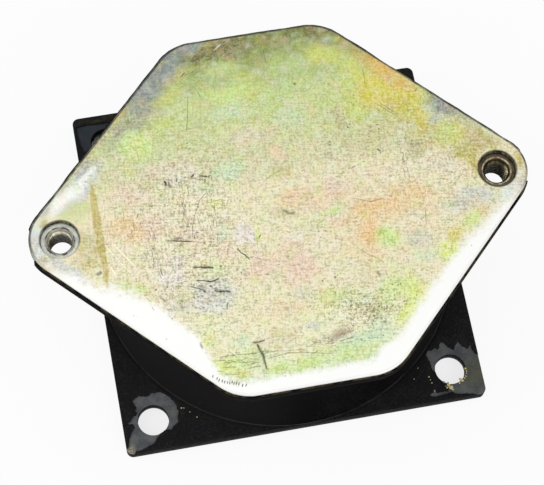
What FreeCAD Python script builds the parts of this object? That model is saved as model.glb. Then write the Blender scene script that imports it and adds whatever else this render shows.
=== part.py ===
import FreeCAD, Part
import math
import os

# Bonded rubber mount for a roller drum, in millimetres.
# A square steel base plate, a round waisted rubber body bonded to it, and a six-sided steel top
# plate with a threaded bush at each of its two tips. The rubber is bonded in one moulding: body,
# thin film over the base plate, and thin skin under the top plate and up its sides. The film and
# the skin are kept as pieces of their own, which meet the body face to face.
# Origin: centre of the base plate's lower face. +X runs along the line of the two bushes, +Z is up.

# Whole mount
overall_height = 71.0

# Base plate
base_side = 165.0
base_thickness = 6.0
base_corner_radius = 3.0
base_edge_break = 0.5
bolt_hole_diameter = 14.0
bolt_edge_distance = 14.0

# Top plate: a square blank stood on its corner, its front and back corners trimmed off in line
# with the base plate's sides
blank_side = 165.0
top_thickness = 6.0
tip_radius = 16.5
trimmed_corner_radius = 22.0
top_edge_round = 0.8

# Threaded bushes
bush_edge_distance = 13.34
bush_seat_diameter = 17.0
bush_seat_clearance = 0.05
bush_body_diameter = 24.0
bush_body_length = 12.0
bush_recess = 2.5
bush_edge_chamfer = 1.0
thread_minor_diameter = 10.2
thread_mouth_diameter = 13.0

# Rubber body
foot_margin = 0.2
waist_depth = 9.3
head_margin = 4.0
head_bush_clearance = 5.9
rim_height = 0.8
rim_bevel = 0.6
groove_width = 0.9
groove_depth = 0.35
parting_height = 0.3
parting_width = 0.8

# Rubber film on the plates
film_thickness = 0.6
film_foot_border = 0.6
skin_thickness = 0.8
skin_setback = 0.4
bare_tip_width = 14.5
bush_pad_clearance = 0.8

# Where the film has torn off round three of the bolt holes, from each hole's centre
front_left_tear = [
    (-8.0, 10.2), (-5.2, 12.0), (-0.4, 11.3), (0.8, 12.3), (5.3, 12.3), (8.6, 9.5), (11.0, 5.9),
    (11.9, 1.8), (10.7, -1.8), (11.0, -2.8), (8.3, -4.7), (7.0, -6.0), (5.5, -5.7), (2.5, -5.5),
    (1.5, -7.2), (-1.3, -10.7), (-5.8, -12.4), (-9.8, -13.0), (-11.5, -15.0), (-15.0, -15.0),
    (-15.0, -11.5), (-13.2, -11.0), (-12.3, -8.0), (-10.9, -4.5), (-8.9, -2.0), (-9.2, -0.4),
    (-11.8, -0.2), (-9.9, 1.6), (-7.0, 3.9), (-7.2, 6.1), (-6.6, 6.9), (-7.4, 8.6),
]
front_right_tear = [
    (-9.7, 8.6), (-8.3, 10.3), (-6.7, 10.0), (-4.9, 11.0), (-3.9, 10.0), (-2.9, 10.6), (-2.6, 12.2),
    (-1.3, 13.4), (1.5, 10.2), (3.5, 8.5), (4.2, 9.8), (6.1, 12.1), (7.9, 9.3), (9.8, 8.0),
    (11.4, 9.8), (11.9, 6.9), (12.8, 5.0), (15.0, 4.0), (15.0, -15.0), (10.0, -15.0), (9.0, -13.7),
    (4.0, -12.6), (-0.3, -11.8), (-1.6, -10.7), (-4.1, -11.2), (-9.3, -11.7), (-12.6, -10.6),
    (-10.1, -9.7), (-9.5, -8.5), (-8.3, -10.1), (-3.2, -10.1), (-2.6, -8.5), (-2.8, -6.0),
    (-6.3, -1.0), (-8.2, 0.8), (-8.3, 2.9), (-8.9, 5.5),
]
back_left_tear = [
    (-12.6, 9.7), (-7.8, 10.0), (-1.1, 9.9), (5.0, 9.6), (9.5, 6.8), (11.2, 1.5), (9.4, -4.6),
    (4.0, -8.6), (-3.0, -9.0), (-7.6, -5.5), (-9.1, -3.6), (-11.4, -2.6), (-12.0, 1.7), (-12.5, 6.2),
]

# Levels
film_top = base_thickness + film_thickness
rim_top = film_top + rim_height
plate_underside = overall_height - top_thickness
film_underside = plate_underside - film_thickness
skin_top = overall_height - top_edge_round - skin_setback
bush_top = overall_height - bush_recess
bush_bottom = plate_underside - bush_body_length

# Places
trimmed_width = base_side
bolt_x = base_side / 2 - bolt_edge_distance
tip_reach = blank_side * math.sqrt(0.5)
rounded_tip = tip_reach - tip_radius * (math.sqrt(2) - 1)
bush_x = rounded_tip - bush_edge_distance
foot_radius = base_side / 2 - foot_margin
waist_radius = foot_radius - waist_depth
head_beside_bushes = bush_x - bush_body_diameter / 2 - head_bush_clearance
head_radius = min(trimmed_width / 2 - head_margin, head_beside_bushes)
groove_radius = foot_radius + groove_width

Z = FreeCAD.Vector(0, 0, 1)


def prism(outline, bottom, height):
    """Straight-sided solid on an outline of XY points."""
    points = [FreeCAD.Vector(x, y, bottom) for x, y in outline]
    wire = Part.makePolygon(points + points[:1])
    return Part.Face(wire).extrude(Z * height)


def post(radius, bottom, height, x=0.0, y=0.0):
    """Upright cylinder."""
    return Part.makeCylinder(radius, height, FreeCAD.Vector(x, y, bottom), Z)


def turned(profile, axis_x=0.0):
    """Solid of revolution from (radius, z) points, about an upright axis at axis_x."""
    points = [FreeCAD.Vector(axis_x + radius, 0, z) for radius, z in profile]
    face = Part.Face(Part.makePolygon(points + points[:1]))
    return face.revolve(FreeCAD.Vector(axis_x, 0, 0), Z, 360)


def round_corners(solid, corners, radius):
    """Round the upright edges that stand on the given XY corners."""
    edges = []
    for edge in solid.Edges:
        middle = edge.CenterOfMass
        upright = edge.BoundBox.ZLength > 0.99 * edge.Length
        for x, y in corners:
            if upright and math.hypot(middle.x - x, middle.y - y) < 0.01:
                edges.append(edge)
    return solid.makeFillet(radius, edges)


def edges_at(solid, height):
    """Edges of the solid that lie level at one height."""
    level = []
    for edge in solid.Edges:
        box = edge.BoundBox
        if max(abs(box.ZMin - height), abs(box.ZMax - height)) < 0.001:
            level.append(edge)
    return level


def base_outline():
    """Corners of the base plate, counter-clockwise."""
    half = base_side / 2
    return [(-half, -half), (half, -half), (half, half), (-half, half)]


def bolt_places():
    """Centres of the four bolt holes, with the outline of the torn film at each."""
    return [
        (-bolt_x, -bolt_x, front_left_tear),
        (bolt_x, -bolt_x, front_right_tear),
        (-bolt_x, bolt_x, back_left_tear),
        (bolt_x, bolt_x, []),
    ]


def top_outline(grow=0.0):
    """Tips and trimmed corners of the top plate, with every side moved outwards by grow."""
    half = trimmed_width / 2 + grow
    reach = tip_reach + grow * math.sqrt(2)
    shoulder = reach - half
    tips = [(-reach, 0), (reach, 0)]
    trimmed = [(-shoulder, -half), (shoulder, -half), (shoulder, half), (-shoulder, half)]
    return tips, trimmed


def top_blank(bottom, height, grow=0.0):
    """Six-sided slab with rounded corners, on the top plate's outline."""
    tips, trimmed = top_outline(grow)
    outline = [tips[0], trimmed[0], trimmed[1], tips[1], trimmed[2], trimmed[3]]
    slab = prism(outline, bottom, height)
    slab = round_corners(slab, tips, tip_radius + grow)
    return round_corners(slab, trimmed, trimmed_corner_radius + grow)


def base_plate():
    """Square plate with four bolt holes and its lower edge broken."""
    plate = prism(base_outline(), 0, base_thickness)
    plate = round_corners(plate, base_outline(), base_corner_radius)
    plate = plate.makeChamfer(base_edge_break, edges_at(plate, 0))
    for x, y, _ in bolt_places():
        plate = plate.cut(post(bolt_hole_diameter / 2, 0, base_thickness, x, y))
    return plate


def top_plate():
    """Six-sided plate with its upper edge rounded and a seat for a bush at each tip."""
    plate = top_blank(plate_underside, top_thickness)
    plate = plate.makeFillet(top_edge_round, edges_at(plate, overall_height))
    for x in (-bush_x, bush_x):
        plate = plate.cut(post(bush_seat_diameter / 2, plate_underside, top_thickness, x))
    return plate


def threaded_bush(x):
    """Turned bush: a spigot in the plate's seat, a wider body below it, and a countersunk mouth."""
    bore = thread_minor_diameter / 2
    mouth = thread_mouth_diameter / 2
    spigot = bush_seat_diameter / 2 - bush_seat_clearance
    body = bush_body_diameter / 2
    countersink = mouth - bore
    profile = [
        (bore, bush_bottom),
        (body - bush_edge_chamfer, bush_bottom),
        (body, bush_bottom + bush_edge_chamfer),
        (body, plate_underside),
        (spigot, plate_underside),
        (spigot, bush_top),
        (mouth, bush_top),
        (bore, bush_top - countersink),
    ]
    return turned(profile, x)


def flank(proud=0.0):
    """Hollow curve of the rubber's side, from the foot's rim to the head, and its two ends."""
    foot = FreeCAD.Vector(foot_radius - rim_bevel + proud, 0, rim_top)
    waist = FreeCAD.Vector(waist_radius + proud, 0, (base_thickness + plate_underside) / 2)
    head = FreeCAD.Vector(head_radius + proud, 0, film_underside)
    side = Part.BSplineCurve()
    side.interpolate([foot, waist, head])
    return side.toShape(), foot, head


def waisted_body():
    """Round body on the film: a low bevelled rim at the foot, then the hollow flank."""
    side, foot, head = flank()
    heel = FreeCAD.Vector(foot_radius, 0, film_top)
    rim = FreeCAD.Vector(foot_radius, 0, rim_top - rim_bevel)
    crest = FreeCAD.Vector(head.x, 0, plate_underside)
    axis_top = FreeCAD.Vector(0, 0, plate_underside)
    axis_foot = FreeCAD.Vector(0, 0, film_top)
    edges = [
        Part.makeLine(axis_foot, heel),
        Part.makeLine(heel, rim),
        Part.makeLine(rim, foot),
        side,
        Part.makeLine(head, crest),
        Part.makeLine(crest, axis_top),
        Part.makeLine(axis_top, axis_foot),
    ]
    return Part.Face(Part.Wire(edges)).revolve(FreeCAD.Vector(0, 0, 0), Z, 360)


def parting_ridge(bearing):
    """Thin ridge up the flank where the two halves of the mould met."""
    side, foot, head = flank(parting_height)
    inside = waist_radius - parting_width
    low = FreeCAD.Vector(inside, 0, foot.z)
    high = FreeCAD.Vector(inside, 0, head.z)
    edges = [side, Part.makeLine(head, high), Part.makeLine(high, low), Part.makeLine(low, foot)]
    sweep = math.degrees(parting_width / waist_radius)
    ridge = Part.Face(Part.Wire(edges)).revolve(FreeCAD.Vector(0, 0, 0), Z, sweep)
    ridge.rotate(FreeCAD.Vector(0, 0, 0), Z, bearing - sweep / 2)
    return ridge


def base_film():
    """Film on the base plate, with a groove round the foot and torn off round the bolt holes."""
    film = prism(base_outline(), base_thickness, film_thickness)
    film = round_corners(film, base_outline(), base_corner_radius)
    border = post(groove_radius + film_foot_border, base_thickness, film_thickness)
    for x, y, tear in bolt_places():
        film = film.cut(post(bolt_hole_diameter / 2, base_thickness, film_thickness, x, y))
        if tear:
            outline = [(x + dx, y + dy) for dx, dy in tear]
            film = film.cut(prism(outline, base_thickness, film_thickness).cut(border))
    groove_floor = film_top - groove_depth
    groove = post(groove_radius, groove_floor, groove_depth)
    return film.cut(groove.cut(post(foot_radius, groove_floor, groove_depth)))


def top_skin(plate):
    """Film under the top plate and skin up its sides, left off at the tips and round the bushes."""
    height = skin_top - film_underside
    jacket = top_blank(film_underside, height, skin_thickness).cut(plate)
    jacket = jacket.cut(post(head_radius, film_underside, film_thickness))
    pad_radius = bush_body_diameter / 2 + bush_pad_clearance
    bare_half = bare_tip_width / 2
    outside = tip_reach + skin_thickness * 2
    for side in (-1, 1):
        jacket = jacket.cut(post(pad_radius, film_underside, height, side * bush_x))
        near, far = side * bush_x, side * outside
        bare = [(near, -bare_half), (far, -bare_half), (far, bare_half), (near, bare_half)]
        jacket = jacket.cut(prism(bare, film_underside, height))
    return jacket


def rubber_body():
    """Waisted body with the mould's parting ridges."""
    moulding = waisted_body()
    for bearing in (0, 180):
        moulding = moulding.fuse(parting_ridge(bearing))
    return moulding.removeSplitter()


def main():
    """Build every piece and write it to its own file."""
    plate = top_plate()
    pieces = {
        "base_plate": base_plate(),
        "top_plate": plate,
        "rubber_body": rubber_body(),
        "base_film": base_film(),
        "top_skin": top_skin(plate),
        "threaded_bush_left": threaded_bush(-bush_x),
        "threaded_bush_right": threaded_bush(bush_x),
    }
    os.makedirs("parts", exist_ok=True)
    for name, shape in pieces.items():
        shape.exportStep("parts/" + name + ".step")
        print(name, "valid", shape.isValid(), "solids", len(shape.Solids),
              "volume", round(shape.Volume, 1))


main()
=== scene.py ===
"""Looks of the drum rubber mount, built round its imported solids.

A square steel base plate carries a waisted rubber body and a thin rubber film. A six-sided zinc
plate lies on top, edged by a rubber skin, with a threaded bush at each of its two tips. Plan shapes
are worked out in millimetres and written to the meshes in metres.
"""
import logging
import math
import random
from dataclasses import dataclass
from enum import Enum
from typing import Any, Callable, Iterable, Sequence

import bmesh
import bpy
import numpy as np
from mathutils import Matrix, Vector, noise
from mathutils.geometry import delaunay_2d_cdt


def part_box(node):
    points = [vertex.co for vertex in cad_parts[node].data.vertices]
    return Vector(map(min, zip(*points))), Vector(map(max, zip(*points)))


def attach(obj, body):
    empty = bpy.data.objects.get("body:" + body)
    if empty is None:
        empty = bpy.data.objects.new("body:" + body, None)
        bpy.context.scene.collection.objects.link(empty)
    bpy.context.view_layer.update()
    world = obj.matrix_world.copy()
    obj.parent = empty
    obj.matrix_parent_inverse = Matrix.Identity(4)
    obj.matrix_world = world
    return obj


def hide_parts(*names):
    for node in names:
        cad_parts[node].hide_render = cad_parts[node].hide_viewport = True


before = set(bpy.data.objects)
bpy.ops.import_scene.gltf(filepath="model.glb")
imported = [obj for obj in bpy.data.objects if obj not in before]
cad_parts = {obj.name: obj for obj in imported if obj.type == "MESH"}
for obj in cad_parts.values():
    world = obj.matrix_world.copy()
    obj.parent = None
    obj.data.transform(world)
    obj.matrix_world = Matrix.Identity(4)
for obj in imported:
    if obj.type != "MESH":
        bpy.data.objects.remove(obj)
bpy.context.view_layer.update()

log = logging.getLogger("drum_rubber_mount")

MM = 0.001
BODY = "root"

Point = tuple[float, float]
Triple = tuple[float, float, float]


# Colours


def linear(red: float, green: float, blue: float) -> tuple[float, float, float, float]:
    """Shader colour of a screen colour whose parts run from 0 to 255."""
    parts = []
    for part in (red, green, blue):
        share = part / 255
        parts.append(share / 12.92 if share <= 0.04045 else ((share + 0.055) / 1.055) ** 2.4)
    return (parts[0], parts[1], parts[2], 1.0)


class Tone(Enum):
    """Screen colours that the finishes are mixed from."""

    BROWN = (112, 104, 48)
    DEEP_OLIVE = (110, 114, 56)
    OLIVE = (134, 142, 78)
    MOSS = (156, 172, 98)
    LEAF = (190, 210, 136)
    SAGE = (204, 214, 148)
    CITRUS = (204, 214, 104)
    STRAW = (218, 216, 170)
    CREAM = (240, 230, 193)
    BUTTER = (241, 241, 199)
    KHAKI = (200, 186, 120)
    GOLD = (196, 178, 78)
    LEMON = (220, 210, 76)
    AMBER = (222, 180, 72)
    RUST = (180, 144, 62)
    LIME = (210, 234, 142)
    BRIGHT_LIME = (228, 240, 128)
    MINT = (206, 232, 190)
    PEACH = (238, 210, 168)
    APRICOT = (242, 204, 144)
    ROSE = (240, 212, 188)
    BLUSH = (228, 216, 188)
    LILAC = (244, 236, 226)
    TAN = (186, 166, 140)
    STONE = (208, 208, 186)
    PEWTER = (160, 164, 132)
    SILVER = (132, 140, 140)
    STEEL = (174, 184, 188)
    CLOUD = (204, 210, 208)
    ICE = (226, 234, 236)
    # White of bare zinc, and of painted glare and highlights
    ZINC_WHITE_AND_GLARE = (252, 253, 250)
    SHADE = (96, 92, 80)
    GRIME = (46, 44, 32)
    UMBER = (58, 54, 40)
    # Black of soot, and of painted shade and shadow
    SOOT_AND_SHADE = (20, 19, 17)
    # Rubber of the body and skin, darker than the film's: painted shade under the plate
    SHADED_RUBBER = (7, 7, 8)
    FILM = (29, 29, 30)
    # Painted light on the sides of the flank
    PAINTED_LIT_RUBBER = (30, 30, 31)
    # Pale dust on rubber, and painted highlights
    RUBBER_DUST_AND_HIGHLIGHT = (62, 62, 60)
    SLATE = (78, 82, 86)
    PRIMER = (104, 106, 106)
    NIGHT = (34, 42, 50)
    DRAB = (94, 94, 78)
    PAINT = (8, 8, 9)
    BEIGE = (190, 178, 150)
    BRIGHT_ZINC = (226, 228, 218)
    DULL_ZINC = (234, 228, 206)
    OIL_RUST = (100, 84, 58)
    DARK_RUST = (86, 76, 42)
    WORN_STEEL = (204, 194, 162)
    # Brown oil, and a painted highlight on the skin's crest
    OIL_AND_HIGHLIGHT = (92, 78, 54)

    @property
    def rgba(self) -> tuple[float, float, float, float]:
        """The tone as a shader colour."""
        return linear(*self.value)


# Node trees


def operators(operation: str) -> tuple[Callable[..., Any], Callable[..., Any]]:
    """Two operators for one kind of Math node.

    Args:
        operation: The node's operation.

    Returns:
        The operator with the value on its left, and its reflected form.
    """
    def plain(value: "Value", other: Any) -> "Value":
        """Value first."""
        return value.graph.math(operation, value, other)

    def reflected(value: "Value", other: Any) -> "Value":
        """Value last."""
        return value.graph.math(operation, other, value)

    return plain, reflected


class Value:
    """A number socket, on which Python's operators add Math nodes."""

    def __init__(self, graph: "Graph", socket: bpy.types.NodeSocket) -> None:
        """Wrap a socket.

        Args:
            graph: The tree that the socket is in.
            socket: An output socket that holds a number.
        """
        self.graph = graph
        self.socket = socket

    def math(self, operation: str, *terms: Any) -> "Value":
        """Math node on this value and the terms, in that order."""
        return self.graph.math(operation, self, *terms)

    __add__, __radd__ = operators("ADD")
    __sub__, __rsub__ = operators("SUBTRACT")
    __mul__, __rmul__ = operators("MULTIPLY")
    __truediv__, __rtruediv__ = operators("DIVIDE")

    def __abs__(self) -> "Value":
        """Size without sign."""
        return self.math("ABSOLUTE")


class Graph:
    """A node tree, with one method that adds any node."""

    def __init__(self, tree: bpy.types.NodeTree) -> None:
        """Keep the tree that is added to."""
        self.tree = tree

    def node(self, kind: str, settings: dict[str, Any] | None = None,
             values: dict[Any, Any] | None = None) -> bpy.types.Node:
        """Add a node.

        Args:
            kind: The node's type name.
            settings: Its properties, set first. "stops" holds a colour ramp's (place, colour) pairs.
            values: A number, colour, socket or Value for each input, by name or number.

        Returns:
            The node.
        """
        made = self.tree.nodes.new(kind)
        for name, setting in (settings or {}).items():
            if name == "stops":
                self._set_stops(made.color_ramp, setting)
            else:
                setattr(made, name, setting)
        for key, value in (values or {}).items():
            socket = value.socket if isinstance(value, Value) else value
            if isinstance(socket, bpy.types.NodeSocket):
                self.tree.links.new(socket, made.inputs[key])
            else:
                made.inputs[key].default_value = socket
        return made

    @staticmethod
    def _set_stops(ramp: bpy.types.ColorRamp, stops: Sequence[tuple[float, Any]]) -> None:
        """Give a colour ramp its stops, from low to high."""
        while len(ramp.elements) > 1:
            ramp.elements.remove(ramp.elements[-1])
        ramp.elements[0].position, ramp.elements[0].color = stops[0]
        for place, colour in stops[1:]:
            ramp.elements.new(place).color = colour

    def math(self, operation: str, *terms: Any) -> Value:
        """Math node on values and numbers."""
        made = self.node("ShaderNodeMath", {"operation": operation}, dict(enumerate(terms)))
        return Value(self, made.outputs[0])

    def vector(self, operation: str, *terms: Any) -> bpy.types.NodeSocket:
        """Vector Math node on vectors."""
        made = self.node("ShaderNodeVectorMath", {"operation": operation}, dict(enumerate(terms)))
        return made.outputs[0]

    def parts(self, vector: bpy.types.NodeSocket) -> tuple[Value, Value, Value]:
        """The three parts of a vector."""
        made = self.node("ShaderNodeSeparateXYZ", values={0: vector})
        return tuple(Value(self, socket) for socket in made.outputs)


class Painter(Graph):
    """The shader of one material, painted in millimetres of Object coordinates."""

    def __init__(self, name: str) -> None:
        """Start an empty material.

        Args:
            name: The material's name.
        """
        self.made = bpy.data.materials.new(name)
        self.made.use_nodes = True
        super().__init__(self.made.node_tree)
        self.tree.nodes.clear()
        metres = self.node("ShaderNodeTexCoord").outputs["Object"]
        self.place = self.scaled(metres, 1 / MM)

    def scaled(self, vector: Any, factor: float) -> bpy.types.NodeSocket:
        """A vector times a number."""
        return self.node("ShaderNodeVectorMath", {"operation": "SCALE"},
                         {0: vector, "Scale": factor}).outputs[0]

    def stretched(self, scale: Triple, turn: float = 0.0) -> bpy.types.NodeSocket:
        """The place turned about Z by degrees, then scaled part by part.

        Args:
            scale: Factor along each axis after the turn.
            turn: Degrees, counter-clockwise.

        Returns:
            The mapped place.
        """
        turned = self.node("ShaderNodeMapping", {"vector_type": "POINT"},
                           {"Vector": self.place, "Rotation": (0, 0, math.radians(-turn))})
        return self.vector("MULTIPLY", turned.outputs[0], scale)

    def grain(self, size: float, detail: float = 2.0, rough: float = 0.5,
              place: Any = None, colour: bool = False) -> Any:
        """Noise whose lumps are about that many millimetres.

        Args:
            size: Size of the lumps.
            detail: Octaves.
            rough: Share of the finer octaves.
            place: Coordinates, the plain place if left out.
            colour: Give the noise's vector instead of its number.

        Returns:
            A Value from 0 to 1, or a vector socket.
        """
        made = self.node("ShaderNodeTexNoise", None, {
            "Vector": self.place if place is None else place,
            "Scale": 1 / size, "Detail": detail, "Roughness": rough})
        return made.outputs["Color"] if colour else Value(self, made.outputs[0])

    def step(self, value: Any, low: float, high: float, top: float = 1.0) -> Value:
        """Smooth step of a value, from 0 at low to top at high. Low may be the larger."""
        if low > high:
            return top - self.step(value, high, low, top)
        made = self.node("ShaderNodeMapRange", {"interpolation_type": "SMOOTHSTEP"},
                         {0: value, 1: low, 2: high, 3: 0.0, 4: top})
        return Value(self, made.outputs[0])

    def blend(self, share: Any, under: Any, over: Any, how: str = "MIX") -> bpy.types.NodeSocket:
        """One colour laid over another.

        Args:
            share: How much of the upper colour shows, from 0 to 1.
            under: Lower colour, a tone or socket.
            over: Upper colour, a tone or socket.
            how: Blend type.

        Returns:
            The mixed colour.
        """
        colours = [item.rgba if isinstance(item, Tone) else item for item in (under, over)]
        made = self.node("ShaderNodeMix", {"data_type": "RGBA", "blend_type": how},
                         {0: share, 6: colours[0], 7: colours[1]})
        return made.outputs[2]

    def spot(self, place: Any, centre: Point, size: Point, turn: float, strength: float,
             sharp: float = 0.25) -> Value:
        """Soft round or oval mask in plan.

        Args:
            place: Coordinates in millimetres, often unsettled by noise.
            centre: Middle of the spot.
            size: Half length and half width.
            turn: Bearing of its length, in degrees.
            strength: Value at its middle.
            sharp: Share of its reach that has the full value.

        Returns:
            The mask.
        """
        local = self.node("ShaderNodeMapping", {"vector_type": "TEXTURE"}, {
            "Vector": place, "Location": (centre[0], centre[1], 0),
            "Rotation": (0, 0, math.radians(turn)), "Scale": (size[0], size[1], 1000)})
        reach = self.node("ShaderNodeVectorMath", {"operation": "LENGTH"}, {0: local.outputs[0]})
        return self.step(Value(self, reach.outputs["Value"]), 1.0, sharp, strength)

    def arcs(self, centre: Point, width: float, length: float) -> Value:
        """Streaks that run in arcs round a far centre.

        Args:
            centre: Middle of the arcs.
            width: Width of a streak in millimetres.
            length: Length of a streak in millimetres.

        Returns:
            Noise from 0 to 1.
        """
        x, y, _ = self.parts(self.place)
        across, along = x - centre[0], y - centre[1]
        reach = (across * across + along * along).math("SQRT")
        bearing = along.math("ARCTAN2", across) * (math.hypot(*centre) / length)
        joined = self.node("ShaderNodeCombineXYZ", None, {0: reach / width, 1: bearing})
        return self.grain(1.0, 3, 0.6, joined.outputs[0])

    def attribute(self, name: str) -> Value:
        """A number that the mesh carries at each point."""
        made = self.node("ShaderNodeAttribute", {"attribute_name": name})
        return Value(self, made.outputs["Fac"])

    def finish(self, colour: Any, roughness: Any, metallic: Any = 0.0, specular: float = 0.5,
               height: Value | None = None, depth: float = 0.1) -> bpy.types.Material:
        """Close the material.

        Args:
            colour: Base colour.
            roughness: Roughness, a number or Value.
            metallic: Share of metal, a number or Value.
            specular: Specular level, one number for the whole surface.
            height: Relief from 0 to 1 for a Bump node.
            depth: Millimetres of relief that height 1 stands for.

        Returns:
            The material.
        """
        values = {"Base Color": colour.rgba if isinstance(colour, Tone) else colour,
                  "Roughness": roughness, "Metallic": metallic, "Specular IOR Level": specular}
        if height is not None:
            bump = self.node("ShaderNodeBump", None, {
                "Strength": 1.0, "Distance": depth * MM, "Height": height})
            values["Normal"] = bump.outputs[0]
        shader = self.node("ShaderNodeBsdfPrincipled", None, values)
        self.node("ShaderNodeOutputMaterial", None, {0: shader.outputs[0]})
        return self.made


# Finishes


@dataclass(frozen=True)
class Finish:
    """A material that each kind of finish paints in its own way."""

    name: str

    def material(self) -> bpy.types.Material:
        """Make the material.

        Returns:
            The material.
        """
        return self._painted(Painter(self.name))

    def _painted(self, paint: Painter) -> bpy.types.Material:
        """Paint an empty material and close it."""
        raise NotImplementedError


@dataclass(frozen=True)
class Wash:
    """A patch of one tone in the zinc's passivation, in millimetres.

    Attributes:
        tone: Its colour.
        centre: Its middle.
        size: Half length and half width.
        strength: How much of the colour shows at the middle.
        turn: Bearing of its length, in degrees.
        sharp: Share of the patch that has its full strength. From CRISP up the shader paints it.
    """

    CRISP = 0.6

    tone: Tone
    centre: Point
    size: Point
    strength: float
    turn: float = 0.0
    sharp: float = 0.25

    def mask(self, places: np.ndarray) -> np.ndarray:
        """How much of the patch's colour shows at some places, rows of X and Y."""
        turn = math.radians(self.turn)
        aside = places - np.array(self.centre)
        along = aside @ np.array((math.cos(turn), math.sin(turn))) / self.size[0]
        across = aside @ np.array((-math.sin(turn), math.cos(turn))) / self.size[1]
        share = np.clip((1 - np.hypot(along, across)) / (1 - self.sharp), 0, 1)
        return self.strength * share * share * (3 - 2 * share)


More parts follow.
